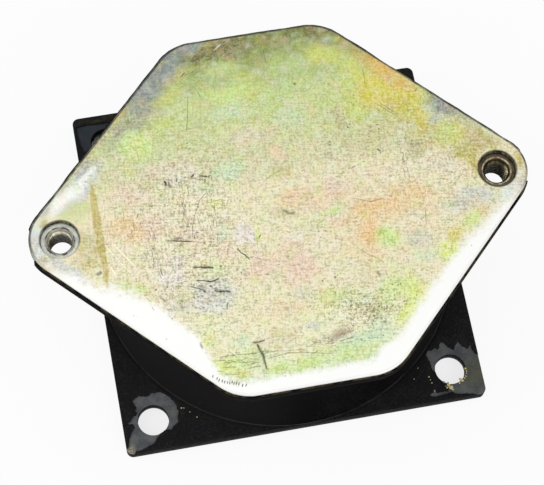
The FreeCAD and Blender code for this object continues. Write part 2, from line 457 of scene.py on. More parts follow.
# Tone, X and Y of the middle, half length, half width, strength, turn and sharpness
WASHES = tuple(Wash(tone, (x, y), (length, width), *more) for tone, x, y, length, width, *more in (
    # Grey-blue and brown along the upper left edge
    (Tone.PEWTER, -50, 57, 30, 14, 0.6, 46), (Tone.PEWTER, -56, 51, 26, 10, 0.9, 46),
    (Tone.KHAKI, -33, 67, 9, 4, 0.6, 25), (Tone.GOLD, -22, 79, 12, 3, 0.5, 10),
    (Tone.BROWN, -25, 74, 9, 4, 0.6, 15), (Tone.BROWN, -13, 77, 15, 7, 0.8),
    (Tone.BROWN, 4, 81, 22, 4, 0.7), (Tone.SILVER, -51, 60, 15, 7, 0.85, 45),
    (Tone.SILVER, -39, 73, 16, 9, 1, 42), (Tone.SILVER, -27, 81, 12, 5, 0.9, 12),
    (Tone.SILVER, -47, 64, 24, 7, 0.6, 46), (Tone.PEWTER, -58, 49, 14, 9, 0.4, 46),
    (Tone.KHAKI, -63, 51, 7, 3.5, 0.6, 45), (Tone.TAN, -73, 41.5, 9, 3, 0.6, 45),
    # Greens of the top
    (Tone.OLIVE, 14, 77, 34, 7, 0.7), (Tone.MOSS, 22, 70, 26, 7, 0.7), (Tone.LEAF, -13, 67, 13, 5, 0.8),
    (Tone.LEAF, 16, 64, 18, 6, 0.6), (Tone.CITRUS, -6, 61, 10, 5, 0.5),
    (Tone.CITRUS, -39, 58, 12, 5, 0.6, 35), (Tone.LIME, -13, 54, 13, 6, 0.6),
    (Tone.CITRUS, -3, 52, 7, 5, 0.5), (Tone.MINT, -14, 46, 15, 5, 0.55),
    (Tone.SAGE, -33, 51, 12, 10, 0.6), (Tone.CITRUS, -46, 46, 10, 8, 0.45),
    (Tone.LIME, -57, 37, 10, 10, 0.8), (Tone.SAGE, 24, 50, 15, 9, 0.55), (Tone.MINT, 12, 40, 11, 7, 0.4),
    (Tone.DEEP_OLIVE, 27, 79, 14, 5, 0.7), (Tone.BROWN, 32, 80, 16, 4, 0.7, -12),
    (Tone.DEEP_OLIVE, 5, 82, 30, 5, 0.5), (Tone.OLIVE, 38, 71, 9, 7, 0.6, -40),
    (Tone.OLIVE, 6, 83, 34, 3.5, 0.6), (Tone.CLOUD, 35, 74, 3, 1.3, 0.7),
    # Yellows and rust at the upper right
    (Tone.CITRUS, 33, 66, 13, 8, 0.8), (Tone.CITRUS, 42, 57, 9, 10, 0.8),
    (Tone.RUST, 44, 71, 7, 2.5, 0.6, -45), (Tone.RUST, 53, 63, 7, 3, 0.7, -45),
    (Tone.CITRUS, 41, 46, 16, 13, 0.5), (Tone.LEMON, 64, 38, 13, 16, 0.4),
    (Tone.LEMON, 52, 46, 14, 14, 1), (Tone.AMBER, 57, 56, 11, 6.5, 0.95, -50),
    (Tone.AMBER, 64, 46, 6, 8, 0.7), (Tone.LEMON, 63, 38, 9, 9, 0.9), (Tone.LEMON, 69, 28, 5, 11, 0.8),
    (Tone.CITRUS, 41, 38, 8, 9, 0.6), (Tone.GOLD, 59, 33, 15, 13, 0.35),
    (Tone.KHAKI, 44, 22, 16, 12, 0.35), (Tone.AMBER, 50, 61, 14, 5, 0.5, -44),
    (Tone.KHAKI, 70, 21, 13, 9, 0.5), (Tone.TAN, 61, 55.5, 11, 2, 0.6, -45),
    (Tone.SILVER, 81, 34, 14, 8, 1, -42), (Tone.KHAKI, 85, 17, 20, 10, 0.6, -35),
    (Tone.GOLD, 92, 19, 12, 3, 0.5, -42), (Tone.STEEL, 75, 28, 5, 3, 0.6),
    (Tone.TAN, 92, 24.5, 7, 1.6, 0.6, -45),
    # Right tip
    (Tone.CITRUS, 78, 20, 10, 8, 0.9), (Tone.LEMON, 84, 20, 6, 6, 0.4), (Tone.GOLD, 83, 11, 10, 5, 0.7),
    (Tone.KHAKI, 93, 15, 12, 6, 0.9, -35), (Tone.GOLD, 87, 4, 3.5, 8, 1), (Tone.GOLD, 107, 2, 3, 6, 0.9),
    (Tone.OLIVE, 64, 15, 6, 8, 0.4), (Tone.STONE, 77, -13, 13, 6, 0.75, -10),
    (Tone.CLOUD, 86, -9, 10, 5, 0.7, -20), (Tone.ICE, 98, -10, 9, 5, 0.9, 40),
    (Tone.CLOUD, 105, -7, 4, 7, 0.8), (Tone.GOLD, 86, -17, 5, 4, 0.35),
    (Tone.LIME, 80, -23, 9, 5, 0.8, 40), (Tone.LEMON, 71, -27, 6, 4, 0.7, 30),
    (Tone.STONE, 74, 6, 8, 6, 0.35),
    # Middle
    (Tone.BLUSH, -6, 34, 17, 8, 0.6), (Tone.PEACH, 3, 24, 5, 5, 0.7), (Tone.ROSE, -50, 24, 12, 7, 0.5),
    (Tone.ROSE, -35, 26, 8, 6, 0.35), (Tone.MINT, -20, 19, 12, 6, 0.75),
    (Tone.MINT, -31, 14, 10, 5, 0.35), (Tone.TAN, 32, 34, 5, 9, 0.35), (Tone.KHAKI, 3, 15, 6, 6, 0.35),
    (Tone.BRIGHT_LIME, -28, 4, 6, 5, 0.5), (Tone.LIME, -45, -13, 4, 5, 0.4),
    (Tone.LILAC, -17, -12, 7, 9, 0.9), (Tone.LILAC, -52, -22, 12, 9, 0.8),
    (Tone.ICE, -36, -37, 13, 10, 0.7), (Tone.LILAC, 4, -18, 6, 6, 0.6), (Tone.MINT, -27, -9, 4, 6, 0.5),
    (Tone.BRIGHT_LIME, -12, -12, 2.2, 6, 0.7), (Tone.APRICOT, 6, 2, 9, 6, 0.5),
    (Tone.KHAKI, 0, -5, 9, 4, 0.5, -15), (Tone.ROSE, -13, -27, 10, 8, 0.8),
    (Tone.ROSE, 2, -26, 8, 12, 0.7), (Tone.ROSE, -42, -8, 9, 9, 0.6), (Tone.APRICOT, 55, -3, 13, 8, 0.6),
    (Tone.ROSE, -26, -16, 9, 7, 0.5), (Tone.PEACH, 18, 1, 26, 9, 0.6),
    (Tone.APRICOT, 42, -10, 20, 10, 0.55), (Tone.ROSE, 1, -29, 14, 13, 0.6),
    (Tone.APRICOT, 33, -24, 13, 12, 0.4), (Tone.LILAC, -40, 20, 14, 8, 0.4),
    (Tone.ROSE, -57, -2, 10, 9, 0.6), (Tone.ROSE, 25, 5, 9, 6, 0.8), (Tone.APRICOT, 41, -9, 14, 5, 0.85),
    (Tone.APRICOT, 35, -19, 7, 12, 0.85), (Tone.PEACH, 25, -13, 8, 5, 0.7),
    (Tone.LIME, 22, -7, 6, 4, 0.7), (Tone.SAGE, 13, -12, 7, 6, 0.5), (Tone.LIME, 43, -24, 8, 8, 0.85),
    (Tone.APRICOT, 60, -9, 12, 9, 0.45), (Tone.STONE, 56, -26, 8, 6, 0.6),
    (Tone.MINT, 58, -33, 7, 5, 0.6), (Tone.BRIGHT_LIME, 68, -34, 7, 8, 0.95, 40),
    # Left tip: silver end with two painted highlights in ice beside the bush, white streak and yellow
    # stripe
    (Tone.ROSE, -65, 14, 11, 9, 0.5), (Tone.APRICOT, -67, -1, 12, 9, 0.55),
    (Tone.SAGE, -88, 10, 10, 8, 0.7), (Tone.KHAKI, -85, -6, 8, 11, 0.7), (Tone.GOLD, -85, -14, 6, 4, 0.5),
    (Tone.CLOUD, -107, 1, 8, 14, 1), (Tone.ICE, -105, 6, 2.5, 5, 0.9), (Tone.ICE, -104.5, -4, 2, 4, 0.9),
    (Tone.SILVER, -110, -1, 2, 8, 0.6), (Tone.CLOUD, -95, -15, 14, 6, 0.9, -45),
    (Tone.STEEL, -99, 19, 14, 2, 0.8, 45), (Tone.ICE, -108, 8, 3, 5, 0.8, -20),
    (Tone.BROWN, -103, -9, 2, 3, 0.5), (Tone.BROWN, -102, 8.5, 2.4, 2.4, 0.5),
    (Tone.OLIVE, -93, 21, 9, 2.8, 0.7, 45), (Tone.TAN, -81, 32.5, 8, 2.2, 0.7, 45),
    (Tone.STEEL, -101, 14, 6, 3, 0.8, 45), (Tone.CLOUD, -86, 21, 21, 7, 0.95, 43),
    (Tone.STEEL, -80, 29, 10, 4, 0.6, 45), (Tone.GOLD, -79.4, 0, 2.1, 28, 0.75, 0, 0.7),
    (Tone.ZINC_WHITE_AND_GLARE, -91, 17.5, 15, 4.6, 0.9, 42, 0.3), (Tone.ZINC_WHITE_AND_GLARE, -81, 26, 12, 2.2, 0.8, 45),
    # Lower left
    (Tone.LIME, -69, -27, 10, 4, 0.75, -35), (Tone.STONE, -52, -30, 9, 6, 0.3),
    (Tone.LIME, -33, -26, 7, 5, 0.4), (Tone.STONE, -36, -35, 10, 8, 0.55),
    (Tone.STONE, -50, -38, 8, 5, 0.6, -30), (Tone.BUTTER, -38, -52, 10, 9, 0.8),
    (Tone.BRIGHT_LIME, -41, -54, 6, 6, 0.4), (Tone.BRIGHT_LIME, -36, -68, 8, 7, 0.9),
    (Tone.LEMON, -29, -73, 7, 3, 0.6), (Tone.MINT, -28, -58, 6, 5, 0.6),
    (Tone.STONE, -22, -65, 7, 6, 0.55), (Tone.LIME, -14, -73, 7, 5, 0.9),
    (Tone.TAN, -12, -60, 12, 6, 0.3),
    # Lower right
    (Tone.PEACH, -6, -48, 14, 7, 0.5), (Tone.BRIGHT_LIME, 13, -45, 9, 7, 0.5),
    (Tone.STONE, 3, -42, 6, 5, 0.5), (Tone.CLOUD, 4, -57, 6, 2.5, 0.5),
    (Tone.TAN, 14, -62, 8, 3.5, 0.85, 15), (Tone.TAN, 5, -64, 6, 2.5, 0.5),
    (Tone.MINT, 19, -67, 13, 5, 0.95, 10), (Tone.MINT, 31, -64, 10, 6, 0.8),
    (Tone.LIME, -2, -74, 11, 4, 0.8), (Tone.LIME, 16, -74, 10, 3, 0.7),
    (Tone.BRIGHT_LIME, 44, -58, 11, 6, 0.9, 42), (Tone.BRIGHT_LIME, 49, -49, 9, 7, 0.8),
    (Tone.LIME, 40, -47, 18, 9, 0.6, 35), (Tone.SAGE, 18, -47, 17, 8, 0.5),
    (Tone.LIME, 10, -71, 26, 6, 0.5), (Tone.LIME, -28, -66, 13, 7, 0.5),
    (Tone.KHAKI, 30, -54, 11, 5, 0.5), (Tone.KHAKI, 31, -38, 9, 6, 0.25),
))


@dataclass(frozen=True)
class Sweep:
    """One sweep of the grinder: centre of its arcs, streak width and length, and strength."""

    centre: Point
    width: float
    length: float
    strength: float


SWEEPS = (
    Sweep((-150, 260), 0.5, 9, 0.18),
    Sweep((240, 190), 0.4, 7, 0.15),
)

DOWN_THE_PLATE = (
    (0.00, Tone.MINT), (0.10, Tone.BUTTER), (0.30, Tone.CREAM), (0.55, Tone.CREAM),
    (0.63, Tone.STRAW), (0.74, Tone.SAGE), (0.83, Tone.LEAF), (0.90, Tone.MOSS),
    (0.945, Tone.OLIVE), (0.975, Tone.DEEP_OLIVE),
)

# Where the plate is most scoured: middle, half size and how much more grain
BUSY = (
    ((-42, -6), (38, 46), 0.55), ((-40, -38), (24, 22), 0.28), ((28, -53), (22, 13), 0.9),
    ((-60, 45), (20, 16), 0.2), ((70, 0), (34, 30), 0.2), ((-97, 12), (26, 22), -0.75),
)


@dataclass(frozen=True)
class YellowZinc(Finish):
    """Yellow passivated zinc: cloudy colour, brush lines, painted highlight along the lower edges, soot and
    painted shade on the rim, scratches.
    """

    tip_reach: float
    half_depth: float

    # Size of the noise and how far it pushes the washes' places, in millimetres
    PUSHES = ((13.0, 2.4), (5.0, 1.3), (2.2, 0.8))
    # Seed of that noise, which would otherwise come from the clock
    SEED = 3
    # How much stronger than planned the washes are laid on
    DEPTH = 1.15

    def _painted(self, paint: Painter) -> bpy.types.Material:
        """Layers from the clouds up, then the mesh's grime, bright and rim values."""
        busy = self._busy(paint)
        colour = self._clouds(paint)
        colour = self._grained(paint, colour, busy)
        colour = self._scribbled(paint, colour)
        # Painted highlight: white glare along the lower edges
        colour = self._painted_edge_glare(paint, colour)
        colour = self._dirtied(paint, colour)
        rim = self._rim_soot_and_shade(paint)
        # Soot and painted shade on the rim, darkest on the back edges
        colour = paint.blend(rim, colour, Tone.SOOT_AND_SHADE)
        brush = paint.grain(0.5, 3, 0.6, paint.stretched((0.12, 1.6, 1), 38))
        rough = 0.36 + 0.14 * paint.grain(9, 3) + 0.25 * paint.attribute("grime")
        return paint.finish(colour, rough + rim * 0.3, 0.5 - rim * 0.5, 0.4, brush, 0.012)

    @staticmethod
    def _busy(paint: Painter) -> Value:
        """How strong the grain is, from the calm top to the scoured left and lower part."""
        _, y, _ = paint.parts(paint.place)
        busy = 0.42 + paint.step(y, 76, 20, 0.53)
        for centre, size, more in BUSY:
            busy = busy + paint.spot(paint.place, centre, size, 0, more)
        return busy

    @staticmethod
    def _pushed(paint: Painter, coarse: float, fine: float) -> bpy.types.NodeSocket:
        """The place pushed about by noise, so that no patch has a plain outline.

        Args:
            paint: The shader that is painted.
            coarse: Millimetres of the slow push.
            fine: Millimetres of the quick push.

        Returns:
            The pushed place.
        """
        slow = paint.vector("SUBTRACT", paint.grain(13, 2, 0.5, colour=True), (0.5, 0.5, 0.5))
        quick = paint.vector("SUBTRACT", paint.grain(2.6, 3, 0.65, colour=True), (0.5, 0.5, 0.5))
        moved = paint.vector("ADD", paint.place, paint.scaled(slow, coarse))
        return paint.vector("ADD", moved, paint.scaled(quick, fine))

    def tints(self, places: np.ndarray) -> np.ndarray:
        """Colours of the ramp down the plate and the soft washes over it.

        Args:
            places: Rows of X and Y in millimetres.

        Returns:
            A row of shader colour for each place.
        """
        noise.seed_set(self.SEED)
        moved = places.copy()
        for size, push in self.PUSHES:
            shifts = [noise.noise_vector(Vector((x / size, y / size, size))) for x, y in places]
            moved += np.array([shift.xy for shift in shifts]) * push
        share = (moved[:, 1] + self.half_depth) / (2 * self.half_depth)
        stops = [place for place, _ in DOWN_THE_PLATE]
        ramp = np.array([tone.rgba for _, tone in DOWN_THE_PLATE])
        colours = np.stack([np.interp(share, stops, ramp[:, part]) for part in range(4)], 1)
        for wash in WASHES:
            if wash.sharp < wash.CRISP:
                mask = np.minimum(wash.mask(moved) * self.DEPTH, 1)[:, None]
                colours = colours * (1 - mask) + np.array(wash.tone.rgba) * mask
        return colours

    def _clouds(self, paint: Painter) -> Any:
        """The mesh's tint, mottled in hue, with the crisp washes over it."""
        steady = self._pushed(paint, 1.5, 1.2)
        colour = paint.node("ShaderNodeAttribute", {"attribute_name": "tint"}).outputs["Color"]
        hue = paint.parts(paint.grain(6, 2, 0.5, colour=True))
        for part, tones in zip(hue, ((Tone.LIME, Tone.ROSE), (Tone.MINT, Tone.APRICOT),
                                     (Tone.BRIGHT_LIME, Tone.LILAC))):
            colour = paint.blend(paint.step(part, 0.5, 0.7, 0.19), colour, tones[0])
            colour = paint.blend(paint.step(part, 0.5, 0.3, 0.19), colour, tones[1])
        for wash in WASHES:
            if wash.sharp >= wash.CRISP:
                mask = paint.spot(steady, wash.centre, wash.size, wash.turn, wash.strength, wash.sharp)
                colour = paint.blend(mask, colour, wash.tone)
        return colour

    @staticmethod
    def _grained(paint: Painter, colour: Any, busy: Value) -> Any:
        """Crossed brush lines, sweeps of the grinder, and speckle."""
        lengthways = paint.grain(1, 2, 0.6, paint.stretched((0.22, 1.15, 1), -10))
        crossways = paint.grain(1, 2, 0.6, paint.stretched((1.15, 0.22, 1), -6))
        lumps = paint.grain(0.85, 2, 0.65)
        shade = lumps * 0.45 + lengthways * 0.3 + crossways * 0.25
        darks = paint.step(shade, 0.45, 0.68, 0.55) * busy
        lights = paint.step(shade, 0.54, 0.34, 0.4) * busy
        colour = paint.blend(darks, colour, Tone.SHADE, "MULTIPLY")
        colour = paint.blend(lights, colour, Tone.ZINC_WHITE_AND_GLARE)
        for sweep in SWEEPS:
            lines = paint.arcs(sweep.centre, sweep.width, sweep.length)
            places = paint.step(paint.grain(26, 2), 0.3, 0.62)
            lights = paint.step(lines, 0.52, 0.72, sweep.strength) * places
            darks = paint.step(lines, 0.48, 0.3, sweep.strength) * places
            colour = paint.blend(lights, colour, Tone.ZINC_WHITE_AND_GLARE)
            colour = paint.blend(darks, colour, Tone.OLIVE)
        return colour

    @staticmethod
    def _scribbled(paint: Painter, colour: Any) -> Any:
        """Thin wandering dark lines and stains on the left and along the top left corner."""
        wander = paint.grain(3.2, 3, 0.6)
        line = paint.step(abs(wander - 0.5), 0.02, 0.004)
        left = paint.spot(paint.place, (-45, -5), (42, 52), 0, 0.4)
        corner = paint.spot(paint.place, (-20, 76), (26, 9), 8, 0.75)
        low = paint.spot(paint.place, (24, -56), (26, 11), 0, 0.6)
        broken = paint.step(paint.grain(2.2, 2), 0.45, 0.6)
        where = left.math("MAXIMUM", corner).math("MAXIMUM", low)
        return paint.blend(line * broken * where, colour, Tone.GRIME)

    def _painted_edge_glare(self, paint: Painter, colour: Any) -> Any:
        """Painted highlight: white glare in a ragged band along the three lower edges."""
        x, y, _ = paint.parts(paint.place)
        ragged = (paint.grain(9, 3, 0.6) - 0.5) * 7 + (paint.grain(1.6, 3, 0.7) - 0.5) * 9
        from_left = (x + y + self.tip_reach) / math.sqrt(2)
        from_front = y + self.half_depth
        from_right = (y - x + self.tip_reach) / math.sqrt(2)
        left_width = 5.5 + paint.step(x, -92, -64, 9.0) - paint.step(x, -48, -39, 8.5)
        right_width = 4.0 + paint.step(x, 94, 72, 4.6)
        left = paint.step(from_left + ragged - left_width, 2.2, -3.5)
        front = paint.step(from_front + ragged * 0.6, 9.0, 4.5)
        right = paint.step(from_right + ragged * 0.6 - right_width, 2.4, -3.2)
        corner = paint.spot(self._pushed(paint, 2, 4), (33, -77), (14, 8), 35, 1.0, 0.6)
        low = paint.step(y, -8, -20)
        band = left.math("MAXIMUM", front).math("MAXIMUM", right).math("MAXIMUM", corner) * low
        return paint.blend(band, colour, Tone.ZINC_WHITE_AND_GLARE)

    @staticmethod
    def _dirtied(paint: Painter, colour: Any) -> Any:
        """Grime in the scratches and pits, and bright scratches."""
        uneven = 0.7 + 0.5 * paint.grain(1.2, 2)
        colour = paint.blend(paint.attribute("bright") * 0.9, colour, Tone.ZINC_WHITE_AND_GLARE)
        return paint.blend(paint.attribute("grime") * uneven, colour, Tone.GRIME)

    @staticmethod
    def _rim_soot_and_shade(paint: Painter) -> Value:
        """Dark rim along the edges and round the seats: soot, and painted shade that makes the upper, back
        edges far darker than the front ones.
        """
        _, y, _ = paint.parts(paint.place)
        worn = paint.step(paint.grain(3, 3, 0.6), 0.35, 0.6)
        upper = paint.step(y, -16, 4)
        return paint.attribute("rim") * (0.75 + 0.25 * worn) * (0.12 + upper * 0.88)


@dataclass(frozen=True)
class BlackRubber(Finish):
    """Moulded black rubber with dust in its grain and pale scuffs; where asked, painted side light, a
    painted rim highlight, and oil with a painted highlight on a crest.

    Attributes:
        dust: How much dust lies in the grain, from 0 to 1.
        ring_radius: Radius of a painted highlight ring, none if nought.
        ring_top: Level below which the ring shows.
        ring_width: Half width of the ring.
        crest: Level of a crest painted with oil and a highlight, none if nought.
        oil: Middle of an oil stain, if there is one.
        scuffs: How much the scuffs show, from 0 to 1.
        tone: The rubber's colour; the default one is darkened as painted shade.
    """

    dust: float = 0.2
    ring_radius: float = 0.0
    ring_top: float = 0.0
    ring_width: float = 0.42
    crest: float = 0.0
    oil: Point | None = None
    scuffs: float = 0.3
    tone: Tone = Tone.SHADED_RUBBER

    def _painted(self, paint: Painter) -> bpy.types.Material:
        """Dust, painted side light and rim highlight, scuffs, crest of oil and painted highlight, and stain
        over the plain tone.
        """
        cloud = paint.grain(14, 4, 0.6)
        fine = paint.grain(0.9, 3, 0.7)
        dusty = paint.step(cloud * 0.35 + fine * 0.65, 0.46, 0.66, self.dust)
        colour = paint.blend(dusty, self.tone, Tone.RUBBER_DUST_AND_HIGHLIGHT)
        scuff = paint.grain(0.8, 2, 0.5, paint.stretched((0.2, 1, 0.15), 20))
        sparse = paint.step(paint.grain(20, 2), 0.56, 0.66)
        if self.ring_radius:
            # Painted light on the flank's sides, then a painted highlight round the rim
            colour = self._painted_rim_highlight(paint, self._painted_side_light(paint, colour))
        scuffed = paint.step(scuff, 0.66, 0.76, self.scuffs) * sparse
        colour = paint.blend(scuffed, colour, Tone.RUBBER_DUST_AND_HIGHLIGHT)
        if self.crest:
            # Oil and a painted highlight along the crest
            colour = self._oil_and_highlight_crest(paint, colour)
        if self.oil:
            streak = paint.grain(1, 3, 0.6, paint.stretched((0.2, 0.9, 1)))
            stain = paint.spot(paint.place, self.oil, (20, 2.2), 0, 0.9) * paint.step(streak, 0.4, 0.6)
            colour = paint.blend(stain, colour, Tone.UMBER)
        return paint.finish(colour, 0.7 + 0.2 * fine, 0.0, 0.03, fine * 0.6 + cloud * 0.4, 0.12)

    @staticmethod
    def _painted_side_light(paint: Painter, colour: Any) -> Any:
        """Painted light: a lighter flank at the left and right of the front."""
        x, _, _ = paint.parts(paint.place)
        left, right = paint.step(x, 5, -35, 0.8), paint.step(x, 30, 60, 0.5)
        return paint.blend(left + right, colour, Tone.PAINTED_LIT_RUBBER)

    def _painted_rim_highlight(self, paint: Painter, colour: Any) -> Any:
        """Painted highlight: a pale line round a circle where the rim's edge catches the light, broken here
        and there.
        """
        x, y, z = paint.parts(paint.place)
        reach = (x * x + y * y).math("SQRT")
        on_ring = paint.step(abs(reach - self.ring_radius), self.ring_width, self.ring_width * 0.4)
        low = paint.step(z, self.ring_top + 0.1, self.ring_top)
        broken = paint.step(paint.grain(9, 3, 0.6), 0.3, 0.55, 1.0)
        return paint.blend(on_ring * low * broken, colour, Tone.RUBBER_DUST_AND_HIGHLIGHT)

    def _oil_and_highlight_crest(self, paint: Painter, colour: Any) -> Any:
        """Brown along the crest of the skin on the front edges: oil, and a painted highlight where the
        crest catches the light.
        """
        _, y, z = paint.parts(paint.place)
        high = paint.step(z, self.crest - 1.5, self.crest - 0.3)
        broken = paint.step(paint.grain(4, 3, 0.65), 0.4, 0.62, 0.6)
        return paint.blend(high * broken * paint.step(y, 2, -12), colour, Tone.OIL_AND_HIGHLIGHT)


@dataclass(frozen=True)
class PaintedSteel(Finish):
    """Base plate: slate primer, worn in places, where the film is off, and black paint on the sides."""

    top: float

    def _painted(self, paint: Painter) -> bpy.types.Material:
        """Primer on the top, paint on the sides."""
        _, _, z = paint.parts(paint.place)
        cloud = paint.grain(5, 4, 0.65)
        fine = paint.grain(0.6, 3, 0.7)
        primer = paint.blend(paint.step(cloud, 0.35, 0.7), Tone.SLATE, Tone.PRIMER)
        primer = paint.blend(paint.step(fine, 0.62, 0.72, 0.5), primer, Tone.SOOT_AND_SHADE)
        primer = paint.blend(paint.step(fine, 0.36, 0.28, 0.6), primer, Tone.BEIGE)
        drab = paint.spot(paint.place, (80, -72), (12, 12), 0, 0.8)
        primer = paint.blend(drab * paint.step(cloud, 0.3, 0.55), primer, Tone.DRAB)
        _, along, _ = paint.parts(paint.place)
        primer = paint.blend(paint.step(along, 10, 30, 0.8), primer, Tone.NIGHT)
        worn = paint.spot(paint.place, (-81.5, -81.5), (5, 4), 45, 0.8) * paint.step(fine, 0.4, 0.6)
        primer = paint.blend(worn, primer, Tone.BEIGE)
        chipped = paint.step(paint.grain(4, 4, 0.7), 0.6, 0.68, 0.15)
        sides = paint.blend(chipped, Tone.PAINT, Tone.SLATE)
        colour = paint.blend(paint.step(z, self.top - 0.3, self.top - 0.05), sides, primer)
        return paint.finish(colour, 0.6 + 0.2 * fine, 0.0, 0.08, fine, 0.06)


@dataclass(frozen=True)
class BushMetal(Finish):
    """Turned steel of a bush, more or less dirty, with a painted shadow, a painted glint and painted shade
    in the bore.

    Attributes:
        centre_x: Where the bush stands.
        face: Tone of the upper face.
        bore: Tone inside the bore.
        grime: Tone of the dirt.
        lip: Tone of the lip between the face and the countersink.
        dirt: How much dirt there is, from 0 to 1; it also sets how dark the painted shadow is.
        bore_radius: Radius of the thread's core.
        lip_radius: Radius of the lip's middle line.
        lip_half: Half the lip's width.
        level: Height of the upper face.
    """

    centre_x: float
    face: Tone
    bore: Tone
    grime: Tone
    lip: Tone
    dirt: float
    bore_radius: float
    lip_radius: float
    lip_half: float
    level: float

    def _painted(self, paint: Painter) -> bpy.types.Material:
        """Face and bore, then dirt, a painted shadow on the ring, lip, a painted glint and painted shade in
        the back of the bore.
        """
        x, y, z = paint.parts(paint.place)
        aside = x - self.centre_x
        reach = (aside * aside + y * y).math("SQRT")
        cloud = paint.grain(2.4, 4, 0.7)
        fine = paint.grain(0.5, 2, 0.6)
        turned = paint.grain(1, 1, 0.5, paint.node("ShaderNodeCombineXYZ", None, {
            0: reach / 0.35, 1: aside / 6, 2: y / 6}).outputs[0])
        inside = paint.step(reach, self.bore_radius + 0.9, self.bore_radius + 0.3)
        colour = paint.blend(inside, self.face, self.bore)
        cone = paint.step(reach, self.bore_radius + 1.3, self.bore_radius + 1.1)
        chatter = ((self.level - z) / 0.55 + y.math("ARCTAN2", aside) / (2 * math.pi)).math("FRACT")
        lines = paint.step(abs(chatter - 0.5), 0.3, 0.1, 0.6) * cone
        low = paint.step(z, self.level - 1.8, self.level - 1.4)
        colour = paint.blend(lines * low, colour, self.grime)
        colour = paint.blend(paint.step(turned, 0.5, 0.7, 0.15), colour, self.grime)
        dirty = paint.step(cloud, 0.46, 0.64, self.dirt)
        colour = paint.blend(dirty, colour, self.grime)
        # Painted shadow: black on the ring at the back right, where the seat shades it, as strong as the
        # dirt
        painted_shadow = paint.step(reach, 7.4, 8.1, self.dirt) * paint.step(aside + y, -3, 4)
        colour = paint.blend(painted_shadow, colour, Tone.SOOT_AND_SHADE)
        wide = self.lip_half * (1.0 + 1.3 * self.dirt)
        crest = paint.step(abs(reach - self.lip_radius), wide * 1.5, wide * 0.7)
        uneven = paint.step(paint.grain(3, 2), 0.4, 0.6, 0.8)
        colour = paint.blend(crest * (0.2 + uneven), colour, self.lip)
        # Painted glint: pale patch on the right wall of the bore
        painted_glint = paint.spot(paint.place, (self.centre_x + 4.4, -0.6), (2.8, 4.4), 0, 1.0)
        painted_glint = painted_glint * paint.step(fine, 0.35, 0.55) * paint.step(z, self.level - 1, self.level - 2)
        colour = paint.blend(painted_glint, colour, Tone.BEIGE)
        # Painted shade: dark deep in the back of the bore
        back = paint.step(y, -2, 3) * paint.step(z, self.level - 3.0, self.level - 7.0) * inside
        colour = paint.blend(back * 0.9, colour, Tone.SOOT_AND_SHADE)
        return paint.finish(colour, 0.34 + 0.3 * cloud - 0.14 * inside, 0.5 + 0.4 * inside, 0.5, fine, 0.03)


@dataclass(frozen=True)
class Flake(Finish):
    """Loose specks of old paint and lime."""

    tone: Tone

    def _painted(self, paint: Painter) -> bpy.types.Material:
        """The tone, clouded."""
        cloud = paint.grain(0.7, 2)
        colour = paint.blend(paint.step(cloud, 0.4, 0.7, 0.5), self.tone, Tone.DULL_ZINC)
        return paint.finish(colour, 0.6 + 0.2 * cloud, 0.0, 0.2)


# Plan outlines


@dataclass
class Outline:
    """A closed line in plan, in millimetres, with the material on its left.

    Attributes:
        points: The line's points, one row each.
        outward: At each point, how far it moves for each millimetre out of the material.
    """

    points: np.ndarray
    outward: np.ndarray

    def inset(self, distance: float) -> np.ndarray:
        """Points of the parallel line that lies that far inside the material."""
        return self.points - self.outward * distance


def rounded_outline(corners: Sequence[Point], radii: Sequence[float], arc_steps: int,
                    run_step: float) -> Outline:
    """Convex outline with rounded corners.

    Args:
        corners: Sharp corners, counter-clockwise.
        radii: Radius at each corner.
        arc_steps: Pieces that each arc has.
        run_step: Longest piece of a straight run.

    Returns:
        The outline.
    """
    points, outward = [], []
    count = len(corners)
    for index, corner in enumerate(corners):
        here = Vector(corner)
        before = (here - Vector(corners[index - 1])).normalized()
        after = (Vector(corners[(index + 1) % count]) - here).normalized()
        side_in, side_out = Vector((before.y, -before.x)), Vector((after.y, -after.x))
        half = side_in.angle(side_out) / 2
        bisector = (side_in + side_out).normalized()
        centre = here - bisector * (radii[index] / math.cos(half))
        start = math.atan2(side_in.y, side_in.x)
        for step in range(arc_steps + 1):
            bearing = start + 2 * half * step / arc_steps
            normal = Vector((math.cos(bearing), math.sin(bearing)))
            points.append(centre + normal * radii[index])
            outward.append(normal)
    full_points, full_outward = [], []
    for index, point in enumerate(points):
        following = points[(index + 1) % len(points)]
        normal = outward[index]
        pieces = 1
        if (index + 1) % (arc_steps + 1) == 0:
            pieces = max(1, math.ceil((following - point).length / run_step))
        for piece in range(pieces):
            full_points.append(point.lerp(following, piece / pieces))
            full_outward.append(normal)
    return Outline(np.array(full_points), np.array(full_outward))


def hole_outline(centre: Point, radius: float, steps: int) -> Outline:
    """Round hole, run clockwise so that the material is on its left."""
    bearings = -2 * np.pi * np.arange(steps) / steps
    spokes = np.stack([np.cos(bearings), np.sin(bearings)], 1)
    return Outline(np.array(centre) + spokes * radius, -spokes)


def free_outline(points: np.ndarray) -> Outline:
    """Outline of any shape, whose normals come from each point's neighbours."""
    along = np.roll(points, -1, 0) - points
    along /= np.maximum(np.linalg.norm(along, axis=1, keepdims=True), 1e-9)
    sides = np.stack([along[:, 1], -along[:, 0]], 1)
    both = sides + np.roll(sides, 1, 0)
    lengths = np.maximum(np.linalg.norm(both, axis=1, keepdims=True), 0.8)
    return Outline(points, 2 * both / lengths ** 2)


